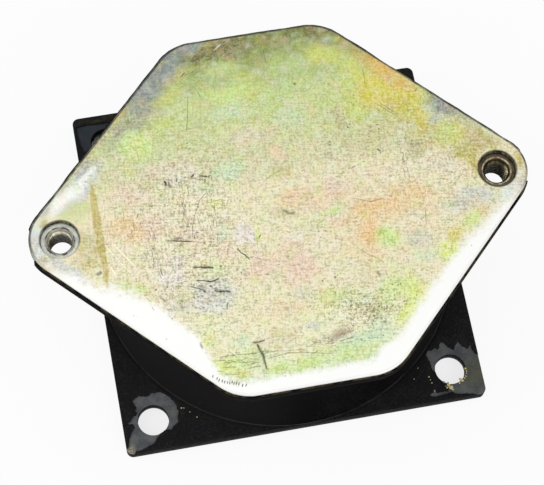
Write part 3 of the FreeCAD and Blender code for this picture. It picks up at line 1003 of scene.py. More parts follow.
def level_outlines(node: str, level: float) -> list[np.ndarray]:
    """Closed outlines of a CAD node's upward faces at one level.

    Args:
        node: The node's name.
        level: Height of the faces, in millimetres.

    Returns:
        Rows of points in millimetres for each outline, the material on its left.
    """
    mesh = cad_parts[node].data
    follows: dict[Point, Point] = {}
    edges: set[tuple[Point, Point]] = set()
    for face in mesh.polygons:
        corners = [mesh.vertices[index].co / MM for index in face.vertices]
        if face.normal.z > 0.5 and all(abs(corner.z - level) < 0.01 for corner in corners):
            keys = [(round(corner.x, 3), round(corner.y, 3)) for corner in corners]
            for index, key in enumerate(keys):
                edges.add((keys[index - 1], key))
    for start, end in edges:
        if (end, start) not in edges:
            follows[start] = end
    outlines = []
    while follows:
        start, point = follows.popitem()
        line = [start]
        while point != start:
            line.append(point)
            point = follows.pop(point)
        outlines.append(np.array(line))
    return outlines


# Marks on the top plate


class MarkKind(Enum):
    """How wide a scratch is in millimetres, and how dark; below nought it is bright."""

    HAIR = (0.5, 0.7)
    FAINT = (0.7, 0.45)
    CUT = (0.95, 1.0)
    GOUGE = (1.6, 1.0)
    SMUDGE = (2.4, 0.65)
    BLOT = (1.9, 0.9)
    BRIGHT = (0.7, -0.8)


# Kind, then X and Y of each knot
SCRATCHES: tuple[tuple[Any, ...], ...] = (
    (MarkKind.HAIR, -30.6, 10.8, -34.3, 7.6, -36.1, 4, -37.9, 0.4, -39.5, -4.2, -40.6, -9.4),
    (MarkKind.CUT, -52, -8.4, -48.4, -9.1, -44.7, -9.9, -42, -10.4, -40.9, -10.6),
    (MarkKind.SMUDGE, -49, -8, -44, -8.4), (MarkKind.GOUGE, -47.9, 19, -47.2, 16.3),
    (MarkKind.SMUDGE, -46.3, 18.5, -45.6, 15.4), (MarkKind.CUT, -42.2, 19.5, -42.9, 17.2),
    (MarkKind.GOUGE, -36.5, 18.3, -34.7, 19.9), (MarkKind.GOUGE, -32.9, 18.8, -30.2, 18.1, -29.4, 17.9),
    (MarkKind.CUT, -30.4, 17.2, -30.6, 14.9), (MarkKind.CUT, -28.4, 18.5, -28.6, 16.7),
    (MarkKind.HAIR, -30.9, 22.6, -30.6, 21.3), (MarkKind.HAIR, -47, 25, -47.3, 23),
    (MarkKind.HAIR, -38.4, 14.9, -38.6, 11.3, -39.3, 9.5),
    (MarkKind.FAINT, -42.5, 10.4, -42, 6.7, -41.3, 2.2),
    (MarkKind.FAINT, -31.5, 5.8, -28.4, 5.7, -25.6, 6.5, -23.4, 5.4),
    (MarkKind.CUT, -39, -7.8, -39.7, -9.6), (MarkKind.CUT, -38.4, -6.7, -37.2, -7.1),
    (MarkKind.GOUGE, -42.7, -22.3, -39.3, -22.7, -36.5, -23.3, -33.4, -24),
    (MarkKind.CUT, -42.5, -28, -38.4, -29.2, -36.5, -29.9, -33.8, -29.5, -32.5, -29.1),
    (MarkKind.GOUGE, -35.5, -29.9, -33.8, -29.5, -32.5, -29.1), (MarkKind.CUT, -37, -31.5, -35.6, -32.8),
    (MarkKind.GOUGE, -35.7, -34.1, -33.2, -34.8, -30.9, -35.2, -28.3, -35.7),
    (MarkKind.CUT, -44.6, -30.9, -41.9, -32, -39.5, -33.5),
    (MarkKind.HAIR, -45, -35.2, -44.3, -36.1, -43, -36.7),
    (MarkKind.CUT, -30.2, -40.2, -31.1, -41.4, -31.4, -43.6),
    (MarkKind.HAIR, -58.2, -31.8, -57.3, -34.5, -55.9, -36.4),
    (MarkKind.FAINT, -56.8, -3.3, -57, -9.6, -56.5, -13.7, -55.9, -17.8, -55.9, -24.2),
    (MarkKind.CUT, -22.5, -16.7, -21.1, -19.2, -19.3, -20.8, -17.7, -23.3),
    (MarkKind.HAIR, -14.7, -21.5, -13.4, -23.7), (MarkKind.CUT, -11.1, -12.4, -12.5, -14.2),
    (MarkKind.FAINT, -7.9, -31.5, -5.2, -32.8, -4, -34), (MarkKind.HAIR, -12.5, -30.5, -10.6, -31.2),
    (MarkKind.FAINT, -6, 11, -3.3, 12.6, -0.1, 14.2, 3.1, 15.4), (MarkKind.HAIR, -1.7, 22, -2.8, 19.9),
    (MarkKind.HAIR, 31, -2.7, 34.7, -4.2, 38, -5.6, 40.4, -5.5, 45, -5.3),
    (MarkKind.CUT, 46.3, 18.3, 47.4, 16.7, 47.3, 15.8),
    (MarkKind.FAINT, 13.5, -12.4, 15.8, -11, 17.6, -10.3), (MarkKind.FAINT, 19, -10.1, 22.2, -9.4),
    (MarkKind.SMUDGE, -0.1, -2.8, 3.1, -5.1, 4.9, -5.2),
    (MarkKind.HAIR, 30.4, -27.1, 32.6, -29.4, 34.9, -30.8, 37.2, -32.6, 38.8, -34.4),
    (MarkKind.HAIR, 38.3, -37.3, 39.2, -40.9), (MarkKind.SMUDGE, 35.1, -37.7, 35.8, -39.5),
    (MarkKind.FAINT, 51.3, -24.6, 54.5, -28.7), (MarkKind.HAIR, 5.9, 74, 5.9, 70.4, 5.8, 66.7),
    (MarkKind.HAIR, -30.9, 57.2, -31.8, 53.1, -32.5, 48.5, -33.7, 43.5, -34.3, 41),
    (MarkKind.FAINT, 47.7, 58.5, 47.7, 52.2, 47.3, 49.5, 47.7, 47.6),
    (MarkKind.HAIR, 50, 39.9, 58.6, 31.3), (MarkKind.HAIR, 51.2, 40.2, 58.9, 32.3),
    (MarkKind.CUT, 35.3, 30.8, 36.1, 29.9), (MarkKind.CUT, 68.4, 42.3, 69.5, 43),
    (MarkKind.HAIR, -26.5, 58, -25.5, 55.5), (MarkKind.FAINT, 11.5, -52.3, 13.7, -51.1),
    (MarkKind.BLOT, -23.6, -59.6, -20.9, -59.8, -17.7, -59.5),
    (MarkKind.BLOT, -21.6, -60.2, -21.1, -63.2, -20.2, -65, -19.9, -67.7, -19.6, -73),
    (MarkKind.FAINT, -32.7, -51.8, -29.1, -54.5),
    (MarkKind.HAIR, -37.7, -63.6, -32.7, -63.6, -26.4, -64.3, -20, -64.3),
    (MarkKind.HAIR, -37.3, -66.4, -32.7, -66.6, -28.2, -67.7, -23.6, -68),
    (MarkKind.HAIR, -38.6, -68.4, -34.5, -68.6, -31.6, -69.1), (MarkKind.HAIR, -40.7, -69.3, -37.7, -70),
    (MarkKind.HAIR, -38, -71.1, -34.5, -71.8, -30.9, -72.5),
    (MarkKind.HAIR, -30, -65.9, -27.3, -68.6, -26.1, -69.5), (MarkKind.HAIR, -28.6, -70.5, -20.9, -70.5),
    (MarkKind.HAIR, -20, -65, -14.5, -65, -10, -65.7, -0.5, -66.4),
    (MarkKind.HAIR, -19.1, -67.7, -10, -66.8, -5.5, -67.3, 0.5, -68.4, 8.7, -70.2),
    (MarkKind.HAIR, -6.1, -70, -6.4, -72.3),
    (MarkKind.FAINT, 20.5, -61.8, 14.2, -62.5, 10.1, -64.5, 5.1, -66.4),
    (MarkKind.HAIR, 11.5, -65.2, 19.6, -64.8), (MarkKind.FAINT, 11.9, -57.5, 16, -57.5),
    (MarkKind.HAIR, 61.6, -12.7, 60.7, -16.4, 60.2, -20.9), (MarkKind.SMUDGE, -45, -56.2, -44.6, -58.6),
    (MarkKind.HAIR, -59.1, -51.4, -58.7, -52.3), (MarkKind.FAINT, 89.5, -13, 91, -14.6, 92.6, -15.8),
    (MarkKind.SMUDGE, -83.4, -18.6, -80.6, -17.8), (MarkKind.BRIGHT, 63.6, -7.7, 63.2, -9.1, 60.9, -12.7),
    (MarkKind.BRIGHT, 72.3, -25.9, 70, -29.1), (MarkKind.BRIGHT, 68.2, -30.9, 65.5, -34.1),
    (MarkKind.BRIGHT, -77.7, -14.5, -74.7, -22.3),
    (MarkKind.BRIGHT, -78.4, -5, -73.5, -13.4, -68.4, -21.4), (MarkKind.BRIGHT, -75.6, -4, -66.8, -17.6),
    (MarkKind.BRIGHT, -32.7, -61.8, -30.9, -64.5), (MarkKind.BRIGHT, -12, 79.5, -16.5, 76.3),
)

# Middles of a row of short upright ticks
TICKS: tuple[Point, ...] = (
    (-42.5, -71.3), (-40.9, -72.5), (-40.2, -73.4), (-39, -74.1), (-38, -74.5), (-37, -75.1),
    (-36.1, -75.5), (-35, -75.2), (-34.3, -75.8), (-33.3, -76.0), (-32.4, -76.6), (-30.9, -77.3),
    (-29.5, -77.5),
)

# X, Y and radius
PITS: tuple[Triple, ...] = (
    (16.6, 54.7, 0.7), (26.5, 24.9, 0.55), (26.4, 23.4, 0.4), (-4.2, 50.5, 0.4), (-13.8, 21.6, 0.4),
    (49, 27.2, 0.5), (52.5, 25, 0.4), (-34.3, 41, 0.4), (-35.2, 34.7, 0.4), (-34.6, 32.1, 0.35),
    (-34.6, 29.9, 0.35), (-40.2, 34.5, 0.35), (-39.1, 34, 0.35), (-27.9, 29.8, 0.35),
    (-24.7, 27.9, 0.35), (-20.2, 12.4, 0.4), (-18.8, 14.5, 0.35), (-24.5, 12.9, 0.35),
    (-70.3, 10.1, 0.5), (-61.9, 4.7, 0.5), (-67.1, -3.9, 0.5), (-67.1, -23.3, 0.4),
    (-59.6, -29.5, 0.7), (-37.9, 6, 0.35), (-34.7, -4.6, 0.35), (-40.9, -17.4, 0.5),
    (16.6, -15.6, 0.5), (14, -18.3, 0.35), (39.5, 13.1, 0.4), (11, -37.7, 0.7), (16.7, -37, 0.7),
    (17.8, -36.4, 0.4), (40.1, -44.5, 0.5), (42.4, -45.2, 0.45), (43.6, -44.8, 0.4),
    (49.4, -50.9, 0.5), (-50.5, -37.4, 0.4), (-22.7, -40.5, 0.4), (-19.3, -42.5, 0.4),
    (-37.8, -46.4, 0.4), (-33.9, -47.5, 0.4), (-30.8, -37.7, 0.4), (-35.7, -40.7, 0.4),
    (-55, -43.4, 0.5), (-30.6, -23.8, 0.75), (-28.8, -24, 0.5), (0.3, -75, 0.4), (-12.5, -76.4, 0.4),
    (76.5, 1.8, 0.4), (75.5, -2.3, 0.35), (73.6, -1.4, 0.35), (71.4, 3.4, 0.35), (69.3, -23.2, 0.4),
    (69.9, -21, 0.35), (63.6, -23.8, 0.35), (35.2, 34.9, 0.35), (36.6, 31.5, 0.35),
    (41.4, 45, 0.35), (43.9, 24.5, 0.35), (44, 21.5, 0.35), (47.7, 22.2, 0.35), (9.1, 34, 0.35),
    (5.8, -49.8, 0.4), (4.9, -44.5, 0.35), (-24, -26.7, 0.4), (-22.5, -28, 0.45), (-21.1, -29, 0.45),
    (-19.4, -29.4, 0.4), (-20.9, -30, 0.35), (-23.4, -31.1, 0.35), (22.1, -66.1, 0.4),
    (29, -66.8, 0.4), (31.7, -66.1, 0.4), (-39.3, -33.7, 1.1), (33, -79, 0.4), (39, -77, 0.4),
)

# Clouds of fine brown pitting: middle, half length, half width, bearing and number of pits
PIT_CLOUDS: tuple[tuple[Point, float, float, float, int], ...] = (
    ((24, -50), 4.5, 2.2, -20, 26), ((25, -53.5), 6, 2.4, -10, 50), ((34, -54.5), 6, 2.4, -10, 50),
    ((27, -57), 5, 2.2, 0, 34), ((19, -58.5), 3, 2.5, 0, 18), ((39, -57), 4, 3.5, 30, 30),
    ((10, -63), 8, 2, 15, 26), ((5, -46), 7, 5, 0, 18), ((22, -42), 9, 4, 0, 18),
    ((0, 0), 92, 62, 0, 240), ((-40, -25), 20, 18, 0, 110), ((35, 15), 32, 30, 0, 60),
    ((-60, 10), 16, 18, 0, 50), ((70, -22), 7, 4, 0, 20), ((76, 0), 5, 4, 0, 16),
    ((48, -48), 8, 6, 40, 20), ((-30, 62), 10, 5, 0, 16), ((-45, -35), 12, 6, -30, 40),
)


# Bundles of short strokes: middle, half length, half width, bearing, stroke length and number
BUNDLES: tuple[tuple[Point, float, float, float, float, int], ...] = (
    ((-57, -14), 12, 2.0, 90, 4.0, 16), ((-42, 4), 8, 1.6, 96, 3.0, 12),
    ((-30, -2), 20, 1.4, 88, 3.0, 14), ((-34, 18.5), 8, 2.2, 8, 1.8, 20),
    ((-47, 18), 3, 2.4, 100, 2.0, 8), ((-38, -30), 10, 9, -8, 2.4, 30),
    ((-58, -36), 8, 6, -60, 2.0, 12), ((-45, -8), 6, 3, -6, 1.6, 8),
    ((-20, 74), 16, 5, 20, 3.0, 26), ((-28, -66), 10, 5, 0, 4.0, 14), ((10, -66), 22, 4, 0, 4.0, 16),
    ((58, 14), 14, 3, 85, 4.0, 10), ((-65, 10), 14, 8, 70, 2.4, 14), ((30, 10), 30, 26, 20, 2.0, 24),
    ((0, -30), 30, 20, -15, 2.2, 20), ((40, 40), 18, 14, -60, 2.4, 12),
)


class Marks:
    """Scratches and pits cut into a plate's upper face."""

    # Depth of a mark for each millimetre of half width, and the share of it that fades at the rim
    SLOPE = 0.22
    FLAT = 0.25
    # How much larger than listed the pits are cut, and how many sides they have
    SWELL = 1.25
    PIT_SIDES = 7
    # Half sizes of a tick, across and along
    TICK_LEAN = (0.2, 0.5)
    TICK_REACH = (0.5, 0.8)
    # How quickly grime fills a mark from its rim
    FILL = 1.6

    def __init__(self, seed: int, keep_clear: Sequence[Outline], clearance: float) -> None:
        """Collect the marks.

        Args:
            seed: Seed for the scattered pits and the unsteady scratch widths.
            keep_clear: Outlines that no mark may come near.
            clearance: How near a mark may come to them, in millimetres.
        """
        self.dice = random.Random(seed)
        self.edge_points = np.concatenate([outline.points for outline in keep_clear])
        self.clearance = clearance
        self.points: list[Point] = []
        self.edges: list[tuple[int, int]] = []
        self.segments: list[tuple[float, ...]] = []
        for kind, *numbers in SCRATCHES:
            self._scratch(kind, tuple(zip(numbers[::2], numbers[1::2])))
        for x, y in TICKS:
            lean = self.dice.uniform(*self.TICK_LEAN)
            tall = self.dice.uniform(*self.TICK_REACH)
            self._scratch(MarkKind.CUT, ((x - lean, y - tall), (x + lean, y + tall)))
        for x, y, radius in PITS:
            self._pit(x, y, radius * self.SWELL, 1.0)
        for cloud in PIT_CLOUDS:
            self._cloud(*cloud)
        for bundle in BUNDLES:
            self._bundle(*bundle)

    def _scratch(self, kind: MarkKind, line: Sequence[Point]) -> None:
        """Add one scratch, which narrows to nothing at both ends."""
        width, dark = kind.value
        knots = [Vector(point) for point in line]
        first, last = knots[0].lerp(knots[1], 0.2), knots[-1].lerp(knots[-2], 0.2)
        knots = [knots[0], first, *knots[1:-1], last, knots[-1]]
        halves = [0.0] + [width / 2 * self.dice.uniform(0.7, 1.15) for _ in knots[1:-1]] + [0.0]
        middle, left, right = [], [], []
        for index, knot in enumerate(knots):
            middle.append(self._point(knot))
            if halves[index]:
                along = (knots[index + 1] - knots[index - 1]).normalized()
                aside = Vector((-along.y, along.x)) * halves[index]
                left.append(self._point(knot + aside))
                right.append(self._point(knot - aside))
        for chain in (middle, [middle[0], *left, middle[-1]], [middle[0], *right, middle[-1]]):
            self.edges.extend(zip(chain, chain[1:]))
        for index in range(len(knots) - 1):
            start, end = knots[index], knots[index + 1]
            self.segments.append((*start, *end, halves[index], halves[index + 1], dark))

    def _pit(self, x: float, y: float, radius: float, dark: float) -> None:
        """Add one round pit with an uneven rim."""
        gaps = np.hypot(self.edge_points[:, 0] - x, self.edge_points[:, 1] - y)
        if gaps.min() < self.clearance + radius:
            return
        self._point(Vector((x, y)))
        turn = self.dice.uniform(0, 1)
        ring = []
        for step in range(self.PIT_SIDES):
            bearing = 2 * math.pi * (step + turn) / self.PIT_SIDES
            spoke = Vector((math.cos(bearing), math.sin(bearing)))
            ring.append(self._point(Vector((x, y)) + spoke * radius * self.dice.uniform(0.8, 1.0)))
        self.edges.extend(zip(ring, ring[1:] + ring[:1]))
        self.segments.append((x, y, x, y, radius, radius, dark))

    def _cloud(self, centre: Point, length: float, width: float, bearing: float, count: int) -> None:
        """Scatter fine pits over an oval."""
        for _ in range(count):
            place = self._scattered(centre, length, width, bearing)
            self._pit(place.x, place.y, self.dice.uniform(0.22, 0.5), self.dice.uniform(0.4, 0.95))

    def _bundle(self, centre: Point, length: float, width: float, bearing: float, stroke: float,
                count: int) -> None:
        """Scatter short strokes over an oval, most of them along its length."""
        for _ in range(count):
            place = self._scattered(centre, length, width, bearing)
            lean = math.radians(bearing + self.dice.gauss(0, 14))
            half = Vector((math.cos(lean), math.sin(lean))) * stroke * self.dice.uniform(0.25, 0.6)
            bow = Vector((-half.y, half.x)) * self.dice.uniform(-0.2, 0.2)
            self._scratch(MarkKind.HAIR, (place - half, place + bow, place + half))

    def _scattered(self, centre: Point, length: float, width: float, bearing: float) -> Vector:
        """A chance place in an oval."""
        reach = math.sqrt(self.dice.random())
        angle = self.dice.uniform(0, 2 * math.pi)
        spread = Vector((length * reach * math.cos(angle), width * reach * math.sin(angle)))
        return Vector(centre) + Matrix.Rotation(math.radians(bearing), 2) @ spread

    def _point(self, place: Vector) -> int:
        """Keep a point for the face's triangles and give its number."""
        self.points.append((place.x, place.y))
        return len(self.points) - 1

    def cut(self, places: np.ndarray) -> tuple[np.ndarray, np.ndarray, np.ndarray]:
        """How deep, dirty and bright the face is at some places.

        Args:
            places: Rows of X and Y in millimetres.

        Returns:
            Depth in millimetres, grime and brightness, one number for each place.
        """
        depth, grime, bright = (np.zeros(len(places)) for _ in range(3))
        for x0, y0, x1, y1, half0, half1, dark in self.segments:
            start, along = np.array((x0, y0)), np.array((x1 - x0, y1 - y0))
            squared = max(float(along @ along), 1e-9)
            share = np.clip((places - start) @ along / squared, 0, 1)
            gap = np.linalg.norm(places - start - share[:, None] * along, axis=1)
            half = half0 + (half1 - half0) * share
            inside = np.clip((1 - gap / np.maximum(half, 1e-4) - self.FLAT) / (1 - self.FLAT), 0, 1)
            inside[half < 1e-3] = 0
            depth = np.maximum(depth, inside * half * self.SLOPE)
            if dark > 0:
                grime = np.maximum(grime, np.minimum(inside * self.FILL, 1) * dark)
            else:
                bright = np.maximum(bright, np.minimum(inside * self.FILL, 1) * -dark)
        return depth, grime, bright


# Meshes


class PlateMesh:
    """A flat piece between outlines, whose edges follow stepped profiles."""

    LAYERS = ("grime", "bright", "rim")

    def __init__(self) -> None:
        """Start an empty piece."""
        self.bm = bmesh.new()
        self.layers = [self.bm.verts.layers.float.new(name) for name in self.LAYERS]

    def _vert(self, x: float, y: float, z: float, values: Sequence[float]) -> bmesh.types.BMVert:
        """Add a point, in millimetres, with its three values."""
        vert = self.bm.verts.new((x * MM, y * MM, z * MM))
        for layer, value in zip(self.layers, values):
            vert[layer] = value
        return vert

    def edge(self, outline: Outline, profiles: Sequence[Sequence[Triple]]) -> None:
        """Add the side along one outline.

        Args:
            outline: The line in plan.
            profiles: For each point of the line, or one for all, its steps from the bottom up:
            how far inside the outline, at what height, and how dark the rim is, from soot and painted
            shade.
        """
        rings = []
        count = len(outline.points)
        for level in range(len(profiles[0])):
            ring = []
            for index in range(count):
                inset, height, rim = profiles[index % len(profiles)][level]
                x, y = outline.points[index] - outline.outward[index] * inset
                ring.append(self._vert(x, y, height, (0, 0, rim)))
            rings.append(ring)
        for low, high in zip(rings, rings[1:]):
            for index in range(count):
                after = (index + 1) % count
                face = self.bm.faces.new((low[index], low[after], high[after], high[index]))
                face.smooth = True

    def face(self, rings: Sequence[np.ndarray], height: float, up: bool,
             marks: Marks | None = None, spacing: float = 0.0) -> None:
        """Fill a level face.

        Args:
            rings: Its outlines' points, the outer one first and then the holes.
            height: Its level in millimetres.
            up: Whether it looks up or down.
            marks: Scratches and pits that are cut into it.
            spacing: Distance between the points that carry its tint, if it has one.
        """
        points: list[Vector] = []
        edges: list[tuple[int, int]] = []
        for ring in rings:
            start, count = len(points), len(ring)
            points.extend(Vector(point) for point in ring)
            edges.extend((start + index, start + (index + 1) % count) for index in range(count))
        if marks:
            start = len(points)
            points.extend(Vector(point) for point in marks.points)
            edges.extend((start + first, start + second) for first, second in marks.edges)
        if spacing:
            points.extend(Vector(point) for point in grid_inside(rings, spacing))
        spots, _, triangles, *_ = delaunay_2d_cdt(points, edges, [], 0, 1e-5)
        flat = np.array([tuple(spot) for spot in spots])
        middles = np.array([flat[list(triangle)].mean(0) for triangle in triangles])
        kept = inside_ring(middles, rings[0])
        for ring in rings[1:]:
            kept &= ~inside_ring(middles, ring)
        values = marks.cut(flat) if marks else np.zeros((3, len(flat)))
        verts = [self._vert(x, y, height - deep, (grime, bright, 0))
                 for (x, y), deep, grime, bright in zip(flat, *values)]
        for triangle, keep in zip(triangles, kept):
            if keep:
                a, b, c = (flat[index] for index in triangle)
                turns_left = (b[0] - a[0]) * (c[1] - a[1]) - (b[1] - a[1]) * (c[0] - a[0]) > 0
                order = triangle if turns_left == up else triangle[::-1]
                self.bm.faces.new([verts[index] for index in order])

    def piece(self, name: str, material: bpy.types.Material) -> bpy.types.Object:
        """Close the mesh and make it an object.

        Args:
            name: The object's name.
            material: Its material.

        Returns:
            The object.
        """
        loose = [vert for vert in self.bm.verts if not vert.link_faces]
        bmesh.ops.delete(self.bm, geom=loose, context="VERTS")
        bmesh.ops.remove_doubles(self.bm, verts=self.bm.verts[:], dist=0.002 * MM)
        bmesh.ops.dissolve_degenerate(self.bm, dist=0.001 * MM, edges=self.bm.edges[:])
        mesh = bpy.data.meshes.new(name)
        self.bm.to_mesh(mesh)
        self.bm.free()
        mesh.materials.append(material)
        return linked(name, mesh)


def inside_ring(places: np.ndarray, ring: np.ndarray) -> np.ndarray:
    """Which places lie inside a closed line.

    Args:
        places: Rows of X and Y.
        ring: Rows of the line's points.

    Returns:
        True or False for each place.
    """
    result = np.zeros(len(places), bool)
    x, y = places[:, 0], places[:, 1]
    for (x0, y0), (x1, y1) in zip(ring, np.roll(ring, -1, 0)):
        if y0 != y1:
            crosses = (y0 > y) != (y1 > y)
            result ^= crosses & (x < (x1 - x0) * (y - y0) / (y1 - y0) + x0)
    return result


def grid_inside(rings: Sequence[np.ndarray], spacing: float) -> np.ndarray:
    """Points of a three-way grid between an outline and its holes.

    Args:
        rings: The outline and then the holes, rows of points.
        spacing: Distance between the points.

    Returns:
        Rows of X and Y.
    """
    low, high = rings[0].min(0), rings[0].max(0)
    columns = np.arange(low[0] + spacing / 2, high[0], spacing)
    rows = np.arange(low[1] + spacing / 2, high[1], spacing * math.sqrt(0.75))
    x, y = np.meshgrid(columns, rows)
    x[1::2] += spacing / 2
    places = np.stack([x.ravel(), y.ravel()], 1)
    kept = inside_ring(places, rings[0])
    for ring in rings[1:]:
        kept &= ~inside_ring(places, ring)
    return places[kept]


def linked(name: str, mesh: bpy.types.Mesh) -> bpy.types.Object:
    """A new object with that mesh, in the scene."""
    made = bpy.data.objects.new(name, mesh)
    bpy.context.scene.collection.objects.link(made)
    return made


def edge_round(radius: float, top: float, rim: Sequence[float], flat: float = 0.7) -> list[Triple]:
    """Steps of a rounded upper edge and the first bit of the face behind it.

    Args:
        radius: Radius of the round in millimetres.
        top: Level of the face.
        rim: Darkness of the rim, from soot and painted shade, at the foot and the crest of the round.
        flat: Width of the ring of face where that darkness dies away.

    Returns:
        The steps, from the side up and inwards.
    """
    count = max(3, round(radius / 0.13))
    steps = []
    for step in range(count + 1):
        angle = math.pi / 2 * step / count
        rim_darkness = rim[0] + (rim[1] - rim[0]) * step / count
        steps.append((radius * (1 - math.cos(angle)), top - radius * (1 - math.sin(angle)), rim_darkness))
    steps.append((radius + flat, top, 0.0))
    return steps


# Geometry Nodes


class Grower(Graph):
    """A Geometry Nodes tree with named inputs, used through a modifier that is then applied."""

    def __init__(self, name: str, inputs: dict[str, str]) -> None:
        """Start a tree.

        Args:
            name: The tree's name.
            inputs: Socket type of each named input after the geometry.
        """
        super().__init__(bpy.data.node_groups.new(name, "GeometryNodeTree"))
        face = self.tree.interface
        face.new_socket(name="Geometry", in_out="INPUT", socket_type="NodeSocketGeometry")
        self.keys = {}
        for title, kind in {**inputs, "Finish": "NodeSocketMaterial"}.items():
            socket = face.new_socket(name=title, in_out="INPUT", socket_type=kind)
            self.keys[title] = socket.identifier
        face.new_socket(name="Geometry", in_out="OUTPUT", socket_type="NodeSocketGeometry")
        self.given = self.node("NodeGroupInput").outputs

    def input(self, title: str) -> Value:
        """A named input."""
        return Value(self, self.given[title])

    def joined(self, x: Any, y: Any, z: Any) -> bpy.types.NodeSocket:
        """Vector of three values."""
        return self.node("ShaderNodeCombineXYZ", None, {0: x, 1: y, 2: z}).outputs[0]

    def close(self, geometry: bpy.types.NodeSocket) -> None:
        """End the tree: real geometry with the named finish."""
        real = self.node("GeometryNodeRealizeInstances", None, {0: geometry}).outputs[0]
        dressed = self.node("GeometryNodeSetMaterial", None,
                            {"Geometry": real, "Material": self.given["Finish"]}).outputs[0]
        self.node("NodeGroupOutput", None, {0: dressed})

    def grow(self, name: str, seed_mesh: bpy.types.Mesh, values: dict[str, Any],
             finish: bpy.types.Material) -> bpy.types.Object:
        """Run the tree on a mesh and keep the result as a plain object.

        Args:
            name: The object's name.
            seed_mesh: The mesh that the tree starts from.
            values: A value for each named input.
            finish: The piece's material.

        Returns:
            The object.
        """
        source = linked(name + ".source", seed_mesh)
        modifier = source.modifiers.new("grow", "NODES")
        modifier.node_group = self.tree
        for title, value in {**values, "Finish": finish}.items():
            modifier[self.keys[title]] = value
        depsgraph = bpy.context.evaluated_depsgraph_get()
        mesh = bpy.data.meshes.new_from_object(source.evaluated_get(depsgraph))
        source.modifiers.remove(modifier)
        bpy.data.objects.remove(source)
        mesh.name = name
        return linked(name, mesh)


class TurnedTree(Grower):
    """Turns a profile about an upright axis.

    The profile is a row of points: X is the radius, Z the height and Y the share of the ripple.
    """

    INPUTS = {"Segments": "NodeSocketInt", "Centre": "NodeSocketFloat",
              "Ripple": "NodeSocketFloat", "Ripple Size": "NodeSocketFloat"}

    def __init__(self, name: str = "turned", more: dict[str, str] | None = None) -> None:
        """Build the tree.

        Args:
            name: The tree's name.
            more: Further inputs, for a tree that adds to this one.
        """
        super().__init__(name, {**self.INPUTS, **(more or {})})
        self.close(self.weld(self.extra(self.turned())))

    def turned(self) -> bpy.types.NodeSocket:
        """The profile turned right round."""
        profile = self.given["Geometry"]
        size = self.node("GeometryNodeAttributeDomainSize", {"component": "MESH"}, {0: profile})
        count = Value(self, size.outputs["Point Count"])
        segments = self.input("Segments")
        grid = self.node("GeometryNodeMeshGrid", None, {
            "Vertices X": segments + 1, "Vertices Y": count})
        index = Value(self, self.node("GeometryNodeInputIndex").outputs[0])
        column = (index / count).math("FLOOR")
        position = self.node("GeometryNodeInputPosition").outputs[0]
        sample = self.node("GeometryNodeSampleIndex",
                           {"data_type": "FLOAT_VECTOR", "domain": "POINT"},
                           {"Geometry": profile, "Value": position,
                            "Index": index.math("MODULO", count)})
        radius, share, height = self.parts(sample.outputs["Value"])
        angle = column / segments * (2 * math.pi)
        smooth = self.joined(angle.math("COSINE") * radius, angle.math("SINE") * radius, height)
        lumps = self.node("ShaderNodeTexNoise", None, {
            "Vector": smooth, "Scale": 1 / MM / self.input("Ripple Size"), "Detail": 3.0})
        swell = (Value(self, lumps.outputs[0]) - 0.5) * share * self.input("Ripple")
        reach = radius + swell
        place = self.joined(angle.math("COSINE") * reach + self.input("Centre"),
                            angle.math("SINE") * reach, height)
        return self.node("GeometryNodeSetPosition", None,
                         {"Geometry": grid.outputs[0], "Position": place}).outputs[0]

    def extra(self, geometry: bpy.types.NodeSocket) -> bpy.types.NodeSocket:
        """Hook for a tree that adds to the turned shape."""
        return geometry

    def weld(self, geometry: bpy.types.NodeSocket) -> bpy.types.NodeSocket:
        """Close the seam and the poles, and shade smooth."""
        merged = self.node("GeometryNodeMergeByDistance", None,
                           {"Geometry": geometry, "Distance": 0.002 * MM}).outputs[0]
        return self.node("GeometryNodeSetShadeSmooth", None, {"Geometry": merged}).outputs[0]


class ThreadedTree(TurnedTree):
    """A turned shape with a helical thread down its bore."""

    THREAD = {"Bore": "NodeSocketFloat", "Thread Depth": "NodeSocketFloat",
              "Pitch": "NodeSocketFloat", "Thread Top": "NodeSocketFloat",
              "Thread Bottom": "NodeSocketFloat", "Thread Rows": "NodeSocketInt"}

    def __init__(self) -> None:
        """Build the tree."""
        super().__init__("threaded", self.THREAD)

    def extra(self, geometry: bpy.types.NodeSocket) -> bpy.types.NodeSocket:
        """Add the wall of the bore, which follows the thread's helix."""
        rows, segments = self.input("Thread Rows"), self.input("Segments")
        top, bottom = self.input("Thread Top"), self.input("Thread Bottom")
        grid = self.node("GeometryNodeMeshGrid", None, {
            "Vertices X": segments + 1, "Vertices Y": rows})
        index = Value(self, self.node("GeometryNodeInputIndex").outputs[0])
        column = (index / rows).math("FLOOR")
        drop = index.math("MODULO", rows) / (rows - 1)
        height = top - drop * (top - bottom)
        turn = column / segments
        phase = (height / self.input("Pitch") - turn).math("FRACT")
        ridge = abs(phase * 2 - 1)
        flank = ((ridge - 0.25) / 0.6).math("MAXIMUM", 0.0).math("MINIMUM", 1.0)
        fade = self.math("MINIMUM", (top - height) / MM, (height - bottom) / MM)
        fade = (fade * 1.6).math("MAXIMUM", 0.0).math("MINIMUM", 1.0)
        radius = self.input("Bore") + flank * fade * self.input("Thread Depth")
        angle = turn * (2 * math.pi)
        place = self.joined(angle.math("COSINE") * radius + self.input("Centre"),
                            angle.math("SINE") * radius, height)
        wall = self.node("GeometryNodeSetPosition", None,
                         {"Geometry": grid.outputs[0], "Position": place}).outputs[0]
        join = self.node("GeometryNodeJoinGeometry")
        for part in (wall, geometry):
            self.tree.links.new(part, join.inputs[0])
        return join.outputs[0]


